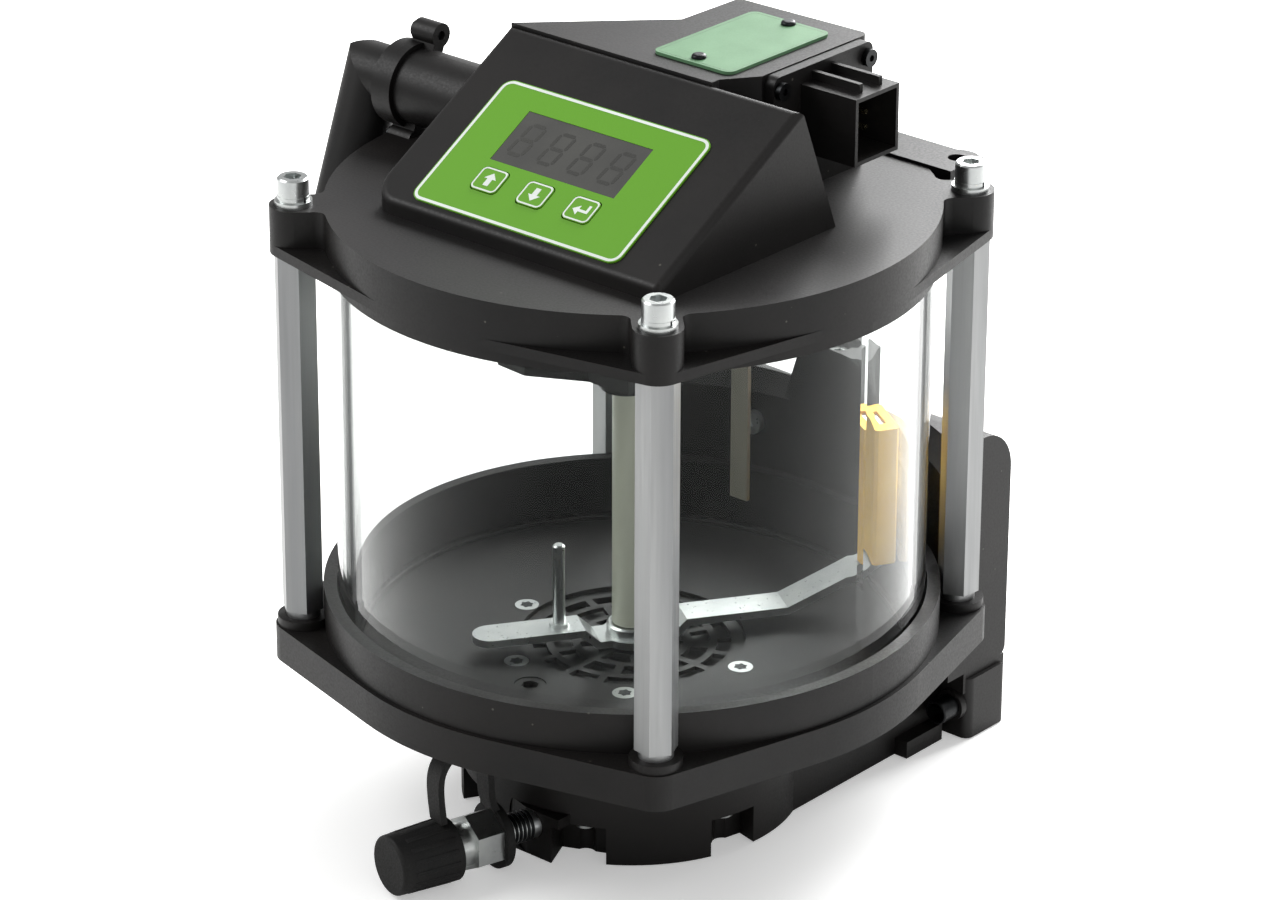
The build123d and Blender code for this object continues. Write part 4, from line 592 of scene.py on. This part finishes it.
class PUMP_OT_cap_strap(bpy.types.Operator):
    """Rubber strap as one welded piece, in place of the strap solid"""

    bl_idname = "pump.cap_strap"
    bl_label = "Cap strap"

    # vertices nearer than this are one
    WELD = 0.01 * MM
    # two places along the stem
    BEND = (15 * MM, 32 * MM)

    def execute(self, context):
        source = frame["nodes"]["filler_strap"]
        bm = bmesh.new()
        bm.from_mesh(source.data)
        bmesh.ops.transform(bm, matrix=source.matrix_world, verts=bm.verts)
        bmesh.ops.remove_doubles(bm, verts=bm.verts, dist=self.WELD)
        bmesh.ops.recalc_face_normals(bm, faces=bm.faces)
        strap = place_piece("cap_strap", bm, source.data.materials[0], None)
        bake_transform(strap)
        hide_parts("filler_strap")
        return {"FINISHED"}


class PUMP_OT_screw_drives(bpy.types.Operator):
    """Six-lobe recesses in the floor screws and hexagon recesses in the plate's screws, drawn as thin plates
    in painted shade
    """

    bl_idname = "pump.screw_drives"
    bl_label = "Screw drives"

    # floor screws: how many, the first one's angle, their circle and the height of their heads
    FLOOR_COUNT = 6
    FLOOR_FIRST = math.radians(8)
    FLOOR_CIRCLE = 41.5 * MM
    FLOOR_TOP = 55.52 * MM
    # the plate's screws in millimetres, and the reach of their hexagons
    PLATE_SCREWS = ((12.1, 17.0), (13.2, 59.5))
    HEXAGON = 1.2
    THICK = 0.03 * MM

    def execute(self, context):
        sizes = sizes_now()
        # the bottom of a recess: the same steel, darkened as painted shade
        dark = worked_surface(
            "steel_recess", "#2b2c2d", "#37393a", (0.4, 0.5), grain=0.5, depth=0.004, metallic=1.0)
        bm = bmesh.new()
        lobes = ring_points(24, sizes.recess_reach / MM, sizes.recess_lobe / MM)
        for number in range(self.FLOOR_COUNT):
            angle = self.FLOOR_FIRST + math.tau * number / self.FLOOR_COUNT
            across, along = self.FLOOR_CIRCLE * math.cos(angle), self.FLOOR_CIRCLE * math.sin(angle)
            outline_plate(lobes, self.THICK, (across, along, self.FLOOR_TOP), bm)
        place_piece("floor_screw_recesses", bm, dark, "pump_body")
        bm = bmesh.new()
        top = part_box("nameplate_screws")[1][2]
        for x, y in self.PLATE_SCREWS:
            outline_plate(ring_points(6, self.HEXAGON), self.THICK, (x * MM, y * MM, top), bm)
        place_piece("plate_screw_recesses", bm, dark, "pump_body")
        return {"FINISHED"}


class PUMP_OT_stage(bpy.types.Operator):
    """Floor, lamps, backdrop light and camera"""

    bl_idname = "pump.stage"
    bl_label = "Stage"

    # each lamp's name, place and side in metres, and power in watts
    LAMPS = (("softbox_left", (-0.75, -0.65, 0.95), 0.7, 8.5),
             ("softbox_back", (-0.15, 1.0, 0.75), 0.9, 38.0),
             ("softbox_right", (1.0, -0.3, 0.7), 1.0, 2.0))
    LAMP_AIM = Vector((0, 0, 0.13))
    # strength of the backdrop as light, and as seen directly or through the tube
    BACKDROP = (0.5, 1.0)
    FLOOR_HALF = 3.0
    FLOOR_DROP = 0.5 * MM
    FLOOR_SHINE = 0.35
    # camera: what it looks at and from how far in metres, angles in degrees
    TARGET = Vector((0, 0, 0.136))
    DISTANCE = 1.65309
    AZIMUTH, ELEVATION, ROLL = 40.9715, 23.6543, 0.192
    # in pixels of the picture: its width, the focal length and the shift both ways
    WIDTH, FOCAL, SHIFT_X, SHIFT_Y = 1280, 5175.29, 7.404, -43.896
    SENSOR = 36.0

    def execute(self, context):
        scene = bpy.context.scene
        scene.view_settings.view_transform = "Standard"
        self.make_world(scene)
        self.make_floor(scene)
        for name, place, size, watts in self.LAMPS:
            lamp = bpy.data.lights.new(name, "AREA")
            lamp.size = size
            lamp.energy = watts
            stand = bpy.data.objects.new(name, lamp)
            scene.collection.objects.link(stand)
            stand.location = place
            aim = self.LAMP_AIM - Vector(place)
            stand.rotation_euler = aim.to_track_quat("-Z", "Y").to_euler()
        self.make_camera(scene)
        return {"FINISHED"}

    def make_world(self, scene):
        world = bpy.data.worlds.new("studio")
        scene.world = world
        world.use_nodes = True
        tree = world.node_tree
        background = tree.nodes["Background"]
        background.inputs["Color"].default_value = (1, 1, 1, 1)
        path = add_node(tree, "ShaderNodeLightPath")
        seen = add_node(tree, "ShaderNodeMath", {"operation": "MAXIMUM"},
                        links={0: path.outputs["Is Camera Ray"], 1: path.outputs["Is Transmission Ray"]})
        level = add_node(tree, "ShaderNodeMapRange", links={"Value": seen.outputs[0]},
                         values={"To Min": self.BACKDROP[0], "To Max": self.BACKDROP[1]})
        tree.links.new(level.outputs["Result"], background.inputs["Strength"])

    def make_floor(self, scene):
        bm = bmesh.new()
        bmesh.ops.create_grid(bm, x_segments=1, y_segments=1, size=self.FLOOR_HALF)
        bmesh.ops.translate(bm, verts=bm.verts, vec=(0, 0, -self.FLOOR_DROP))
        mesh = bpy.data.meshes.new("floor")
        bm.to_mesh(mesh)
        bm.free()
        floor = bpy.data.objects.new("floor", mesh)
        scene.collection.objects.link(floor)
        material, tree, shader, coords = start_material("paper_white")
        shader.inputs["Base Color"].default_value = linear("#f4f4f3")
        shader.inputs["Roughness"].default_value = 0.9
        shader.inputs["Specular IOR Level"].default_value = 0.1
        # the camera sees paper that is lit evenly, with the pump's shadow kept
        shine = add_node(tree, "ShaderNodeEmission",
                         values={"Color": (1, 1, 1, 1), "Strength": self.FLOOR_SHINE})
        both = add_node(tree, "ShaderNodeAddShader",
                        links={0: shader.outputs["BSDF"], 1: shine.outputs["Emission"]})
        split_surface(tree, "Is Camera Ray", shader.outputs["BSDF"], both.outputs["Shader"])
        floor.data.materials.append(material)

    def make_camera(self, scene):
        azimuth, elevation = math.radians(self.AZIMUTH), math.radians(self.ELEVATION)
        flat = math.cos(elevation)
        back = Vector((math.sin(azimuth) * flat, -math.cos(azimuth) * flat, math.sin(elevation)))
        camera = bpy.data.objects.new("camera", bpy.data.cameras.new("camera"))
        scene.collection.objects.link(camera)
        camera.data.sensor_width = self.SENSOR
        camera.data.lens = self.FOCAL / self.WIDTH * self.SENSOR
        camera.data.shift_x = self.SHIFT_X / self.WIDTH
        camera.data.shift_y = self.SHIFT_Y / self.WIDTH
        camera.location = self.TARGET + back * self.DISTANCE
        facing = (-back).to_track_quat("-Z", "Y").to_matrix().to_4x4()
        camera.rotation_euler = (facing @ Matrix.Rotation(math.radians(self.ROLL), 4, "Z")).to_euler()
        scene.camera = camera


OPERATORS = (
    PUMP_OT_finishes,
    PUMP_OT_panel_border,
    PUMP_OT_key_marks,
    PUMP_OT_digits,
    PUMP_OT_filler_thread,
    PUMP_OT_cap_ribs,
    PUMP_OT_cap_strap,
    PUMP_OT_screw_drives,
    PUMP_OT_stage,
)


class PUMP_PT_sidebar(bpy.types.Panel):
    """Sizes, colours and steps of the pump"""

    bl_label = "Lubrication pump"
    bl_idname = "PUMP_PT_sidebar"
    bl_space_type = "VIEW_3D"
    bl_region_type = "UI"
    bl_category = "Pump"

    def draw(self, context):
        sizes = context.scene.pump_sizes
        for name in PumpSizes.__annotations__:
            self.layout.prop(sizes, name)
        for operator in OPERATORS:
            self.layout.operator(operator.bl_idname)


def register():
    bpy.utils.register_class(PumpSizes)
    for operator in OPERATORS:
        bpy.utils.register_class(operator)
    bpy.utils.register_class(PUMP_PT_sidebar)
    bpy.types.Scene.pump_sizes = bpy.props.PointerProperty(type=PumpSizes)


def unregister():
    del bpy.types.Scene.pump_sizes
    bpy.utils.unregister_class(PUMP_PT_sidebar)
    for operator in reversed(OPERATORS):
        bpy.utils.unregister_class(operator)
    bpy.utils.unregister_class(PumpSizes)


def main():
    register()
    for operator in OPERATORS:
        group, name = operator.bl_idname.split(".")
        getattr(getattr(bpy.ops, group), name)()


if __name__ == "__main__":
    main()
